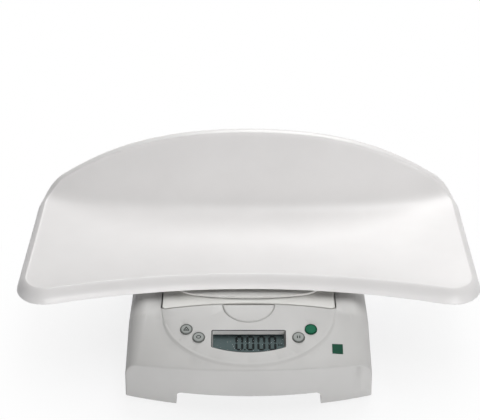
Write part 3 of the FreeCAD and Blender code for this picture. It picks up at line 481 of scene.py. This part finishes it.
def joinRings(bm, rings, closed):
    # Skins a row of rings of points. A closed row meets its own start; an open one gets end caps.
    made = [[bm.verts.new(point) for point in ring] for ring in rings]
    count = len(rings[0])
    for one, other in zip(made, made[1:] + made[:1] if closed else made[1:]):
        for i in range(count):
            j = (i + 1) % count
            bm.faces.new((one[i], one[j], other[j], other[i]))
    if not closed:
        bm.faces.new(made[0])
        bm.faces.new(made[-1])
    bmesh.ops.recalc_face_normals(bm, faces=bm.faces)


def spunPiece(profile, steps, mergeMm=0.001):
    # A profile of (radius, height) points from the axis and back to it, turned right round z.
    bm = bmesh.new()
    points = [bm.verts.new((radius, 0, z)) for radius, z in profile]
    edges = [bm.edges.new(pair) for pair in zip(points, points[1:])]
    bmesh.ops.spin(
        bm,
        geom=points + edges,
        cent=(0, 0, 0),
        axis=(0, 0, 1),
        angle=2 * math.pi,
        steps=steps,
        use_merge=True,
    )
    bmesh.ops.remove_doubles(bm, verts=bm.verts, dist=mergeMm)
    bmesh.ops.recalc_face_normals(bm, faces=bm.faces)
    return bm


def cornerArc(cx, cz, radius, start, end, steps=4):
    angles = [math.radians(start + (end - start) * i / steps) for i in range(steps + 1)]
    return [(cx + radius * math.cos(a), cz + radius * math.sin(a)) for a in angles]


def arcDrop(x, radius):
    return radius - math.sqrt(radius * radius - x * x)


# The camera, in metres and degrees, measured from the base's front on the floor.
view = {
    "lens": 87.35,
    "shiftX": -8.6 / 480,
    "distance": 1.01055,
    "height": 0.9161,
    "downwards": 32.49,
}
camera = bpy.data.objects.new("camera", bpy.data.cameras.new("camera"))
camera.data.sensor_width = 36
camera.data.lens = view["lens"]
camera.data.shift_x = view["shiftX"]
camera.location = (0, frontY - view["distance"], view["height"])
camera.rotation_euler = (math.radians(90 - view["downwards"]), 0, 0)
bpy.context.scene.collection.objects.link(camera)
bpy.context.scene.camera = camera

tray = {
    # outline of the lip
    "lipHalf": 266.0,
    "lipZ": 103.6,
    "frontY": 124.2,
    "frontRadius": 960.0,
    "backY": 326.75,
    "backRadius": 1463.0,
    "frontCorner": 25.0,
    "backCorner": 30.0,
    "endBand": 5.0,  # this near an end, a point belongs to the straight end
    # dished seat, then the fold into the back wall, which comes forward towards the ends
    "dish": 7.0,
    "dishRun": 90.0,
    "foldY": 280.5,
    "foldSweep": 20.5,
    "foldPower": 3.6,
    "foldSoft": 12.0,
    "wallSlope": 1.85,
    # flange: rings of a low bead as (along, up) from the lip, then a bowed fall
    "beadRings": [(-1.5, 0.0), (-0.8, 0.12), (-0.2, 0.25), (0.45, 0.15)],
    "bead": 0.3,
    "fallRings": 10,
    "fallFrom": (0.6, 0.2),  # out from the lip, and down from the bead
    "flangeOut": 11.5,
    "flangeDrop": 16.5,
    "flangeBow": 2.0,
    "backShare": 0.5,  # the part of its width that is left where the wall is steepest
    # mesh and finish
    "edgeInset": 2.4,
    "columns": 128,
    "rows": 60,
    "smoothBand": 45.0,  # the grid is evened out this far in from each end
    "smoothPasses": 12,
    "slopeStep": 0.5,
    "wall": 2.55,
    "softEdge": 0.5,
}


def trayHeight(x, y):
    t = tray
    front = t["frontY"] - x * x / (2 * t["frontRadius"])
    run = min(max((y - front) / t["dishRun"], 0.0), 1.0)
    span = max(0.0, 1 - (x / t["lipHalf"]) ** 2)
    past = y - t["foldY"] - t["foldSweep"] * (abs(x) / t["lipHalf"]) ** t["foldPower"]
    rise = t["wallSlope"] / 2 * (past + math.hypot(past, t["foldSoft"]))
    return t["lipZ"] - t["dish"] * span * run * (2 - run) + rise


def trayCorner(front):
    # Middle and radius of the round between an end and the front or back edge.
    t = tray
    radius = t["frontCorner"] if front else t["backCorner"]
    middleX = t["lipHalf"] - radius
    if front:
        big, centreY = t["frontRadius"] + radius, t["frontY"] - t["frontRadius"]
    else:
        big, centreY = t["backRadius"] - radius, t["backY"] - t["backRadius"]
    return middleX, centreY + math.sqrt(big * big - middleX * middleX), radius


def lipPlace(x, y):
    # The nearest place on the lip's outline to a point just inside it, and the way out there.
    t = tray
    side = 1 if x >= 0 else -1
    front, back = trayCorner(True), trayCorner(False)
    frontCentre = Vector((0, t["frontY"] - t["frontRadius"]))
    backCentre = Vector((0, t["backY"] - t["backRadius"]))
    rounds = [
        (front, math.atan2(frontCentre.y - front[1], -front[0]), 0.0),
        (back, 0.0, math.atan2(back[1] - backCentre.y, back[0])),
    ]
    for (middleX, middleY, radius), start, end in rounds:
        away = Vector((abs(x) - middleX, y - middleY))
        beyond = away.length > 1 and abs(x) > middleX - radius / 2
        if beyond and start <= math.atan2(away.y, away.x) <= end:
            out = away.normalized()
            place = Vector((side * (middleX + radius * out.x), middleY + radius * out.y))
            return place, Vector((side * out.x, out.y))
    if abs(x) > t["lipHalf"] - t["endBand"] and front[1] < y < back[1]:
        return Vector((side * t["lipHalf"], y)), Vector((side, 0))
    if y < (front[1] + back[1]) / 2:
        out = Vector((-x, frontCentre.y - y)).normalized()
        return frontCentre - out * t["frontRadius"], out
    out = Vector((x, y - backCentre.y)).normalized()
    return backCentre + out * t["backRadius"], out


def lipLean(place, out):
    # How steeply the seat or the wall rises outwards at the lip.
    x, y, step = place.x, place.y, tray["slopeStep"]
    slopeX = (trayHeight(x + step, y) - trayHeight(x - step, y)) / (2 * step)
    slopeY = (trayHeight(x, y + step) - trayHeight(x, y - step)) / (2 * step)
    return math.atan(slopeX * out.x + slopeY * out.y)


def flangeOffset(ring, share):
    # How far a ring of the flange lies along the lip's slope, and how far above it.
    t = tray
    if ring < len(t["beadRings"]):
        return t["beadRings"][ring]
    a = (ring - len(t["beadRings"]) + 1) / t["fallRings"]
    out, drop, bow = t["flangeOut"] * share, t["flangeDrop"] * share, t["flangeBow"] * share
    fromOut, fromDrop = t["fallFrom"]
    length = math.hypot(out, drop)
    bulge = 4 * a * (1 - a) * bow
    along = fromOut + (out - fromOut) * a + bulge * drop / length
    return along, t["bead"] - fromDrop - (drop - fromDrop) * a + bulge * out / length


def trayEdges(x):
    # Front and back of the grid at a distance from the middle.
    t = tray
    low = t["frontY"] - arcDrop(x, t["frontRadius"]) + t["edgeInset"]
    return low, t["backY"] - arcDrop(x, t["backRadius"]) - t["edgeInset"]


def trayGrid(half):
    # A flat grid just inside the lip, with its corners pressed round.
    t = tray
    bm = bmesh.new()
    bmesh.ops.create_grid(bm, x_segments=t["columns"], y_segments=t["rows"], size=1.0)
    for vert in bm.verts:
        u, v = vert.co.x, vert.co.y
        x = half * u
        low, high = trayEdges(x)
        y = low + (v + 1) / 2 * (high - low)
        radius = (t["frontCorner"] if v < 0 else t["backCorner"]) - t["edgeInset"]
        p = 1 - (half - abs(x)) / radius
        q = 1 - ((y - low) if v < 0 else (high - y)) / radius
        if p > 0 and q > 0:
            p, q = p * math.sqrt(1 - q * q / 2), q * math.sqrt(1 - p * p / 2)
            x = math.copysign(half - radius * (1 - p), x)
            low, high = trayEdges(x)
            y = low + radius * (1 - q) if v < 0 else high - radius * (1 - q)
        vert.co = (x, y, 0)
    return bm


def addFlange(bm, lips):
    # Extrudes the border ring by ring. Each point keeps its place on the lip and the way out there.
    t = tray
    steepest = math.sin(math.atan(t["wallSlope"]))
    for ring in range(len(t["beadRings"]) + t["fallRings"]):
        edges = [e for e in bm.edges if e.is_boundary]
        previous = {tuple(round(c, 4) for c in v.co): lips[v] for v in lips}
        made = bmesh.ops.extrude_edge_only(bm, edges=edges)["geom"]
        lips = {}
        for vert in [g for g in made if isinstance(g, bmesh.types.BMVert)]:
            place, out = previous[tuple(round(c, 4) for c in vert.co)]
            lean = lipLean(place, out)
            share = 1 - (1 - t["backShare"]) * max(0.0, math.sin(lean)) / steepest
            along, up = flangeOffset(ring, share)
            flat = along * math.cos(lean) - up * math.sin(lean)
            height = trayHeight(place.x, place.y) + along * math.sin(lean) + up * math.cos(lean)
            vert.co = (place.x + out.x * flat, place.y + out.y * flat, height)
            lips[vert] = (place, out)


def makeTray():
    t = tray
    inset = t["edgeInset"]
    half = t["lipHalf"] - inset
    bm = trayGrid(half)
    lips = {}
    for vert in [v for v in bm.verts if v.is_boundary]:
        place, out = lipPlace(vert.co.x, vert.co.y)
        vert.co = (place.x - out.x * inset, place.y - out.y * inset, 0)
        lips[vert] = (place, out)
    inner = [v for v in bm.verts if not v.is_boundary and abs(v.co.x) > half - t["smoothBand"]]
    for _ in range(t["smoothPasses"]):
        bmesh.ops.smooth_vert(bm, verts=inner, factor=0.5, use_axis_x=True, use_axis_y=True)
    for vert in bm.verts:
        vert.co.z = trayHeight(vert.co.x, vert.co.y)
    addFlange(bm, lips)
    faceUpwards(bm)
    piece = finishPiece(bm, "trayShell", "trayAbsSatin", "tray", smoothAngle=60)
    wall = piece.modifiers.new("wallThickness", "SOLIDIFY")
    wall.thickness = t["wall"] / 1000
    wall.offset = -1
    wall.use_even_offset = True
    softenEdges(piece, t["softEdge"], 50)
    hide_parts("weighing_tray")


makeTray()
print("tray made")

# Housings: the nodes' own forms, each with its piece's name, material, body and soft edge in mm.
housings = {
    "upper_casing": ("casingShell", "casingAbsEroded", "housing", 0.35),
    "platform_cover": ("platformShell", "coverAbsPaintedLighter", "platform", 0.35),
    "foot_plate": ("footPlateShell", "footAbsSatin", "tray", 0.5),
    "release_pad": ("releasePadShell", "casingAbsEroded", "release", 0.45),
    "base_pan": ("panShell", "panAbsEroded", "housing", 0.3),
    "battery_cover": ("batteryDoor", "panAbsEroded", "battery_door", 0.3),
}


def refinedCopy(node, name, material, body, edgeMm, mergeMm=0.01, flatAngle=0.4):
    # The node's own mesh, merged and freed of needless edges, with its edges softened.
    bm = bmesh.new()
    bm.from_mesh(nodes[node].data)
    bmesh.ops.remove_doubles(bm, verts=bm.verts, dist=mergeMm / 1000)
    bmesh.ops.dissolve_limit(
        bm,
        angle_limit=math.radians(flatAngle),
        verts=bm.verts,
        edges=bm.edges,
        use_dissolve_boundaries=False,
    )
    piece = finishPiece(bm, name, material, body, Matrix.Identity(4))
    softenEdges(piece, edgeMm)
    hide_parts(node)


for node, settings in housings.items():
    refinedCopy(node, *settings)
print("housings made")

casingMesh = bmesh.new()
casingMesh.from_mesh(nodes["upper_casing"].data)
casingTree = BVHTree.FromBMesh(casingMesh)
casingMesh.free()


def casingLevel(x, s, above=20):
    # Height of the casing's surface over the panel's plane, met by a ray from above.
    down = (toPanel.to_3x3() @ Vector((0, 0, -1))).normalized()
    hit = casingTree.ray_cast(toPanel @ Vector((x, s, above)), down)[0]
    return (toPanel.inverted() @ hit).z


# The soft swell at the foot of the raised field: half an ellipse round a middle up the panel. The
# distances from inside to outside are measured outwards from it.
swell = {
    "halfWidth": 103.0,
    "depth": 85.0,
    "centreS": 94.8,
    "inside": -1.2,
    "edge": 0.7,
    "foot": 2.2,
    "outside": 6.2,
    "endS": 80.0,
    "fadeRun": 34.0,
    "lift": 0.02,
    "buried": 0.4,
    "columns": 144,
    "rows": 14,
}


def smoothStep(value):
    value = min(max(value, 0.0), 1.0)
    return value * value * (3 - 2 * value)


def swellRing(turn):
    # A strip across the step: up over its edge, down to the panel, and back underneath.
    w = swell

    def spot(out):
        return (w["halfWidth"] + out) * math.cos(turn), w["centreS"] - (w["depth"] + out) * math.sin(turn)

    fade = smoothStep((w["endS"] - spot(0)[1]) / w["fadeRun"])
    width = w["foot"] + (w["outside"] - w["foot"]) * fade
    top, foot = casingLevel(*spot(w["edge"])), casingLevel(*spot(w["foot"]))
    points = [(*spot(w["inside"]), casingLevel(*spot(w["inside"])) + w["lift"])]
    for j in range(w["rows"] + 1):
        out = w["edge"] + (width - w["edge"]) * j / w["rows"]
        base = foot if out < w["foot"] else casingLevel(*spot(out))
        points.append((*spot(out), base + (top - foot) * (1 - smoothStep(j / w["rows"])) + w["lift"]))
    for x, s, level in (points[-1], points[0]):
        points.append((x, s, level - w["buried"]))
    return points


def makeSwell():
    w = swell
    bm = bmesh.new()
    start = math.asin((w["centreS"] - w["endS"]) / w["depth"])
    turns = [start + (math.pi - 2 * start) * i / w["columns"] for i in range(w["columns"] + 1)]
    joinRings(bm, [swellRing(turn) for turn in turns], False)
    finishPiece(bm, "fieldSwell", "casingAbsEroded", "housing", toPanel)


makeSwell()
print("swell made")

keys = {
    "radius": 7.15,
    "top": 2.0,
    "flangeTop": -6.0,
    "flangeRadius": 8.2,
    "flangeBottom": -7.2,
    "edge": 0.6,
    "shoulder": (0.15, 0.02),  # inwards and down from the start of the round edge
    "dish": 0.18,
    "rim": 1.3,  # width of the ring painted dark as shade of the gap round the key, outside a fine groove
    "grooveHalf": 0.25,
    "grooveDepth": 0.2,
    "places": {
        "arrow_key": (-72.3, 57.9, "keyCapGrey+keyRimGrey"),
        "tare_key": (-57.7, 46.4, "keyCapGrey+keyRimGrey"),
        "hold_key": (57.7, 46.4, "keyCapGrey+keyRimGrey"),
        "power_key": (72.3, 57.9, "keyCapGreen+keyRimGreen"),
    },
}


def makeKey(node):
    k = keys
    x, s, material = k["places"][node]
    r, top, edge = k["radius"], k["top"], k["edge"]
    floor, rim, half = top - k["dish"], r - k["rim"], k["grooveHalf"]
    inwards, down = k["shoulder"]
    profile = [(0, floor), (rim - half, floor), (rim, floor - k["grooveDepth"]), (rim + half, floor)]
    profile.append((r - edge - inwards, top - down))
    profile += cornerArc(r - edge, top - edge, edge, 90, 0)
    profile += [(r, k["flangeTop"]), (k["flangeRadius"], k["flangeTop"])]
    profile += [(k["flangeRadius"], k["flangeBottom"]), (0, k["flangeBottom"])]
    bm = spunPiece(profile, 64)
    for face in bm.faces:
        # faces outside the fine groove get the rim's painted shade material
        face.material_index = 1 if face.calc_center_median().xy.length > rim else 0
    place = toPanel @ Matrix.Translation((x, s, 0))
    piece = finishPiece(bm, node + "Cap", material, node + "_body", place)
    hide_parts(node)


# Plain signs on the caps: an open triangle, a ring for zero and two bars for hold.
keySigns = {
    "lift": 0.01,
    "thickness": 0.05,
    "triangle": [(-3.1, -2.1), (3.1, -2.1), (0.0, 3.0)],
    "triangleStroke": 0.95,
    "crossBar": (-1.2, -0.6, 1.2, -0.6),
    "crossStroke": 0.9,
    "ringHalf": (2.4, 1.9),
    "ringStroke": 0.95,
    "ringParts": 20,
    "holdX": 1.4,
    "holdHalf": 1.9,
    "holdStroke": 1.15,
}


def bar(bm, ends, width):
    # A flat bar between two points on a key's dished top.
    x0, y0, x1, y1 = ends
    run = Vector((x1 - x0, y1 - y0, 0))
    level = keys["top"] - keys["dish"] + keySigns["lift"]
    made = bmesh.ops.create_cube(bm, size=1.0)["verts"]
    turn = Matrix.Rotation(math.atan2(run.y, run.x), 4, "Z")
    size = Matrix.Diagonal((run.length, width, keySigns["thickness"], 1))
    at = Matrix.Translation(((x0 + x1) / 2, (y0 + y1) / 2, level))
    bmesh.ops.transform(bm, matrix=at @ turn @ size, verts=made)


def makeKeySigns():
    g = keySigns
    signs = {"arrow_key": bmesh.new(), "tare_key": bmesh.new(), "hold_key": bmesh.new()}
    for one, other in zip(g["triangle"], g["triangle"][1:] + g["triangle"][:1]):
        bar(signs["arrow_key"], (*one, *other), g["triangleStroke"])
    bar(signs["arrow_key"], g["crossBar"], g["crossStroke"])
    halfX, halfY = g["ringHalf"]
    for i in range(g["ringParts"]):
        a, b = [2 * math.pi * n / g["ringParts"] for n in (i, i + 1)]
        ends = (halfX * math.cos(a), halfY * math.sin(a), halfX * math.cos(b), halfY * math.sin(b))
        bar(signs["tare_key"], ends, g["ringStroke"])
    for x in (-g["holdX"], g["holdX"]):
        bar(signs["hold_key"], (x, -g["holdHalf"], x, g["holdHalf"]), g["holdStroke"])
    for node, bm in signs.items():
        x, s, _ = keys["places"][node]
        place = toPanel @ Matrix.Translation((x, s, 0))
        finishPiece(bm, node + "Sign", "keySymbolInk", node + "_body", place)


for key in keys["places"]:
    makeKey(key)
makeKeySigns()
print("keys made")

# The window and its glass: S runs up the panel, N is the depth under it.
display = {
    "lowS": 24.7,
    "topS": 57.0,
    "sideS": 33.0,
    "halfWidth": 43.2,
    "round": 2.0,
    "leastRound": 0.4,
    "lowN": 1.6,
    "topN": 5.3,
    "lens": 1.6,
    # figures, with a point on the line and a small plain bar sign to their right
    "inkLift": 0.012,
    "digits": 4,
    "digitLow": 31.3,
    "digitHeight": 22.6,
    "digitWidth": 9.4,
    "digitPitch": 12.72,
    "firstX": -15.4,
    "stroke": 2.7,
    "gap": 0.22,
    "point": {"half": 1.4, "down": 0.2, "stroke": 2.1},
    "unitMark": [
        (34.4, 41.8, 34.4, 38.3),
        (36.6, 41.0, 36.6, 38.3),
        (38.6, 41.0, 38.6, 38.3),
        (34.4, 39.7, 38.6, 39.7),
    ],
    "unitStroke": 0.8,
    # painted gap shadow, a dark strip just under the casing's level that is met a little way outside it,
    # and bezel
    "gapShadowOverlap": 0.02,
    "gapShadowWidth": 1.1,
    "gapShadowDepth": 0.9,
    "gapShadowSunk": 0.12,
    "gapShadowLean": 0.1,
    "levelOutside": 0.8,
    "bezelWidth": 0.9,
    "bezelSunk": 0.35,
    "bezelFoot": 0.25,
    "glassGap": 0.03,
}


def lcdLevel(s):
    d = display
    return -(d["lowN"] + (d["topN"] - d["lowN"]) * (s - d["lowS"]) / (d["topS"] - d["lowS"])) - d["lens"]


def segment(bm, x0, s0, x1, s1, width):
    # A bar with pointed ends that lies on the glass.
    run = Vector((x1 - x0, s1 - s0))
    way = run.normalized()
    side = Vector((-way.y, way.x)) * width / 2
    tip = way * width / 2
    start, end = Vector((x0, s0)), Vector((x1, s1))
    corners = [start, start + tip + side, end - tip + side, end, end - tip - side, start + tip - side]
    bm.faces.new([bm.verts.new((c.x, c.y, lcdLevel(c.y) + display["inkLift"])) for c in corners])


def makeDigits():
    d = display
    bm = bmesh.new()
    gap, stroke, point = d["gap"], d["stroke"], d["point"]
    half = stroke / 2
    low, high = d["digitLow"] + half, d["digitLow"] + d["digitHeight"] - half
    middle = d["digitLow"] + d["digitHeight"] / 2
    for i in range(d["digits"]):
        left = d["firstX"] + i * d["digitPitch"] + half
        right = left + d["digitWidth"] - stroke
        segment(bm, left + gap, high, right - gap, high, stroke)
        segment(bm, left + gap, low, right - gap, low, stroke)
        for x in (left, right):
            segment(bm, x, middle + gap, x, high - gap, stroke)
            segment(bm, x, low + gap, x, middle - gap, stroke)
    pointX = d["firstX"] + (d["digitWidth"] + d["digitPitch"]) / 2
    pointS = low - point["down"]
    segment(bm, pointX - point["half"], pointS, pointX + point["half"], pointS, point["stroke"])
    for ends in d["unitMark"]:
        segment(bm, *ends, d["unitStroke"])
    faceUpwards(bm)
    finishPiece(bm, "displaySegments", "lcdSegmentInk", "housing", toPanel)


def windowOutline(margin, steps=10):
    # The window's edge, anticlockwise: straight top and sides, rounded corners, a curved foot.
    d = display
    half, top, side, low = d["halfWidth"] + margin, d["topS"] + margin, d["sideS"], d["lowS"] - margin
    r = max(d["round"] + margin, d["leastRound"])
    sag = side - low
    radius = (half * half + sag * sag) / (2 * sag)
    points = cornerArc(half - r, top - r, r, 0, 90) + cornerArc(-half + r, top - r, r, 90, 180)
    for i in range(2 * steps + 1):
        x = -half + half * i / steps
        points.append((x, low + arcDrop(x, radius)))
    return points


def makeGapShadow():
    # A dark strip round the window, just under the casing's surface, that is painted shadow of the gap
    # there, and a bezel in the casing's own grey that slopes from it down to the glass.
    d = display
    width = d["gapShadowWidth"]
    margins = (-d["gapShadowOverlap"], -width, -width - d["bezelWidth"], d["levelOutside"])
    gapShadowRows, bezelRows = [], []
    for edge, inner, foot, outside in zip(*[windowOutline(m) for m in margins]):
        level = casingLevel(*outside) - d["gapShadowSunk"]
        low = level - d["gapShadowDepth"]
        glass = lcdLevel(foot[1]) + d["lens"] + d["glassGap"]
        gapShadowRows.append([(*edge, level), (*inner, level - d["gapShadowLean"]), (*inner, low), (*edge, low)])
        slope = [(*inner, level - d["bezelSunk"]), (*foot, glass + d["bezelFoot"])]
        bezelRows.append([*slope, (*foot, glass), (*inner, glass)])
    for name, material, rows in (
        ("windowGapShadow", "rubberBlackAndGapShadow", gapShadowRows),
        ("windowBezel", "casingAbsEroded", bezelRows),
    ):
        bm = bmesh.new()
        joinRings(bm, rows, True)
        finishPiece(bm, name, material, "housing", toPanel)


makeDigits()
makeGapShadow()
print("display made")

# Rubber feet: a grooved sole, a round edge, and a peg that goes up into the pan.
feet = {
    "radius": 12.0,
    "height": 2.45,
    "grooves": (3.0, 6.0, 9.0),
    "grooveDepth": 0.35,
    "grooveHalf": (0.5, 0.3),
    "soleRound": 0.8,
    "sideLean": 0.1,
    "topEdge": 0.3,
    "pegRadius": (4.0, 3.4),
    "pegTop": (7.2, 7.5),
    "places": [(-114, 44), (114, 44), (-114, 256), (114, 256)],
}


def footProfile():
    f = feet
    r, h, depth, sole, top = f["radius"], f["height"], f["grooveDepth"], f["soleRound"], f["topEdge"]
    wide, narrow = f["grooveHalf"]
    profile = [(0, 0.0)]
    for ring in f["grooves"]:
        profile += [(ring - wide, 0.0), (ring - narrow, depth), (ring + narrow, depth), (ring + wide, 0.0)]
    profile += cornerArc(r - sole - f["sideLean"], sole, sole, 270, 360)
    profile += [(r, h - top), (r - top, h), (f["pegRadius"][0], h)]
    return profile + [*zip(f["pegRadius"], f["pegTop"]), (0, f["pegTop"][1])]


def makeFeet():
    whole = bmesh.new()
    for x, y in feet["places"]:
        one = spunPiece(footProfile(), 48)
        bmesh.ops.translate(one, vec=(x, y, 0), verts=one.verts)
        mesh = bpy.data.meshes.new("foot")
        one.to_mesh(mesh)
        one.free()
        whole.from_mesh(mesh)
        bpy.data.meshes.remove(mesh)
    piece = finishPiece(whole, "rubberFeet", "rubberBlackAndGapShadow", "housing")
    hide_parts("rubber_feet")


makeFeet()
print("feet made")

# Materials for the nodes that show as they are.
nodeLooks = {
    "foot_plate_screws": "zincPlatedScrew",
    "foot_plate_pads": "rubberBlackAndGapShadow",
    "load_plate": "zincPlatedSheet",
    "cover_screws": "zincPlatedScrew",
    "upper_spacer": "milledAluminium",
    "upper_bolts": "zincPlatedScrew",
    "catch_guide": "catchPomNatural",
    "catch_slider": "catchPomNatural",
    "catch_spring": "springSteel",
    "display_lens": "windowAcrylicPolished",
    "lcd_panel": "lcdGlassGreyGreenTopShadow",
    "display_frame": "lcdBezel",
    "circuit_board": "boardSolderMask",
    "board_screws": "zincPlatedScrew",
    "key_mat": "siliconeWhite",
    "sticker": "filmGreen",
    "casing_screws": "zincPlatedScrew",
    "battery_box": "panAbsEroded",
    "battery_cells": "cellSleeve",
    "battery_contacts": "springSteel",
    "base_frame": "zincPlatedSheet",
    "frame_screws": "zincPlatedScrew",
    "load_cell": "milledAluminium",
    "lower_spacer": "milledAluminium",
    "lower_bolts": "zincPlatedScrew",
    "overload_stops": "zincPlatedScrew",
    "cell_lead": "leadPvc",
}
for name, look in nodeLooks.items():
    nodes[name].data.materials.clear()
    nodes[name].data.materials.append(materials[look])
print("node materials set:", len(nodeLooks))

# Floor, world and lamps, in metres and watts.
studio = {
    "floorHalf": 6.0,
    "floorDrop": 0.0002,
    "paperTints": ("#F6F7FA", "#FAFBFE"),
    "paperWhiteShare": 0.82,  # how much of the paper next to the base shows as plain white
    "whiteFrom": (0.13, 0.38),  # it becomes all of it between these distances
    "worldLight": 0.04,
    "lampSize": 1.6,
    "lampAim": (0, 0, 0.08),
    "lamps": {
        "back": {"place": (0.35, 1.5, 2.0), "power": 41},
        "top": {"place": (0.25, 0.2, 2.6), "power": 16},
        "front": {"place": (0.6, -2.5, 0.15), "power": 60},
    },
}


def seenDirectly(tree):
    # One for a ray that shows the background as such: to the eye, in a mirror or through glass.
    path = addNode(tree, "ShaderNodeLightPath")
    glass = {0: path.outputs["Is Glossy Ray"], 1: path.outputs["Is Transmission Ray"]}
    other = addNode(tree, "ShaderNodeMath", {"operation": "MAXIMUM"}, glass)
    both = {0: path.outputs["Is Camera Ray"], 1: other.outputs[0]}
    return addNode(tree, "ShaderNodeMath", {"operation": "MAXIMUM"}, both).outputs[0]


def paperMaterial():
    # Seamless studio paper: matt, so the object's shadow stays on it, and plain white further out.
    material, tree, where = newMaterial("studioPaper")
    dark, light = studio["paperTints"]
    near, far = studio["whiteFrom"]
    fibre = addNode(
        tree,
        "ShaderNodeTexNoise",
        {"Scale": perMetre["paperFibre"], "Detail": 2},
        {"Vector": where},
    )
    tint = addNode(
        tree,
        "ShaderNodeValToRGB",
        {"stops": [(0.3, dark), (0.7, light)]},
        {"Fac": fibre.outputs["Fac"]},
    )
    matt = addNode(tree, "ShaderNodeBsdfDiffuse", links={"Color": tint.outputs["Color"]})
    glow = addNode(tree, "ShaderNodeEmission", {"Color": (1, 1, 1, 1), "Strength": 1.0})
    seen = seenDirectly(tree)
    spread = addNode(tree, "ShaderNodeVectorMath", {"operation": "LENGTH"}, {0: where})
    white = addNode(
        tree,
        "ShaderNodeMapRange",
        {
            "interpolation_type": "SMOOTHSTEP",
            "From Min": near,
            "From Max": far,
            "To Min": studio["paperWhiteShare"],
            "To Max": 1.0,
        },
        {"Value": spread.outputs["Value"]},
    )
    share = addNode(
        tree,
        "ShaderNodeMath",
        {"operation": "MULTIPLY"},
        {0: seen, 1: white.outputs["Result"]},
    )
    both = addNode(
        tree,
        "ShaderNodeMixShader",
        links={0: share.outputs[0], 1: matt.outputs[0], 2: glow.outputs[0]},
    )
    addNode(tree, "ShaderNodeOutputMaterial", links={"Surface": both.outputs[0]})
    return material


def makeFloor():
    bm = bmesh.new()
    bmesh.ops.create_grid(bm, x_segments=1, y_segments=1, size=studio["floorHalf"])
    bmesh.ops.translate(bm, vec=(0, 0, -studio["floorDrop"]), verts=bm.verts)
    mesh = bpy.data.meshes.new("floor")
    bm.to_mesh(mesh)
    bm.free()
    mesh.materials.append(paperMaterial())
    floor = bpy.data.objects.new("floor", mesh)
    bpy.context.scene.collection.objects.link(floor)


def makeWorld():
    world = bpy.data.worlds.new("studio")
    bpy.context.scene.world = world
    world.use_nodes = True
    tree = world.node_tree
    tree.nodes.clear()
    plain = addNode(
        tree,
        "ShaderNodeBackground",
        {"Color": (1, 1, 1, 1), "Strength": studio["worldLight"]},
    )
    white = addNode(tree, "ShaderNodeBackground", {"Color": (1, 1, 1, 1), "Strength": 1.0})
    mix = addNode(
        tree,
        "ShaderNodeMixShader",
        links={0: seenDirectly(tree), 1: plain.outputs[0], 2: white.outputs[0]},
    )
    addNode(tree, "ShaderNodeOutputWorld", links={"Surface": mix.outputs[0]})


def makeLamp(name):
    lamp = studio["lamps"][name]
    data = bpy.data.lights.new(name + "Lamp", "AREA")
    data.shape = "ELLIPSE"
    data.size = data.size_y = studio["lampSize"]
    data.energy = lamp["power"]
    light = bpy.data.objects.new(name + "Lamp", data)
    light.location = lamp["place"]
    aim = Vector(studio["lampAim"]) - Vector(lamp["place"])
    light.rotation_euler = aim.to_track_quat("-Z", "Y").to_euler()
    bpy.context.scene.collection.objects.link(light)


makeFloor()
makeWorld()
for lampName in studio["lamps"]:
    makeLamp(lampName)
bpy.context.scene.view_settings.view_transform = "Standard"
print("studio made")
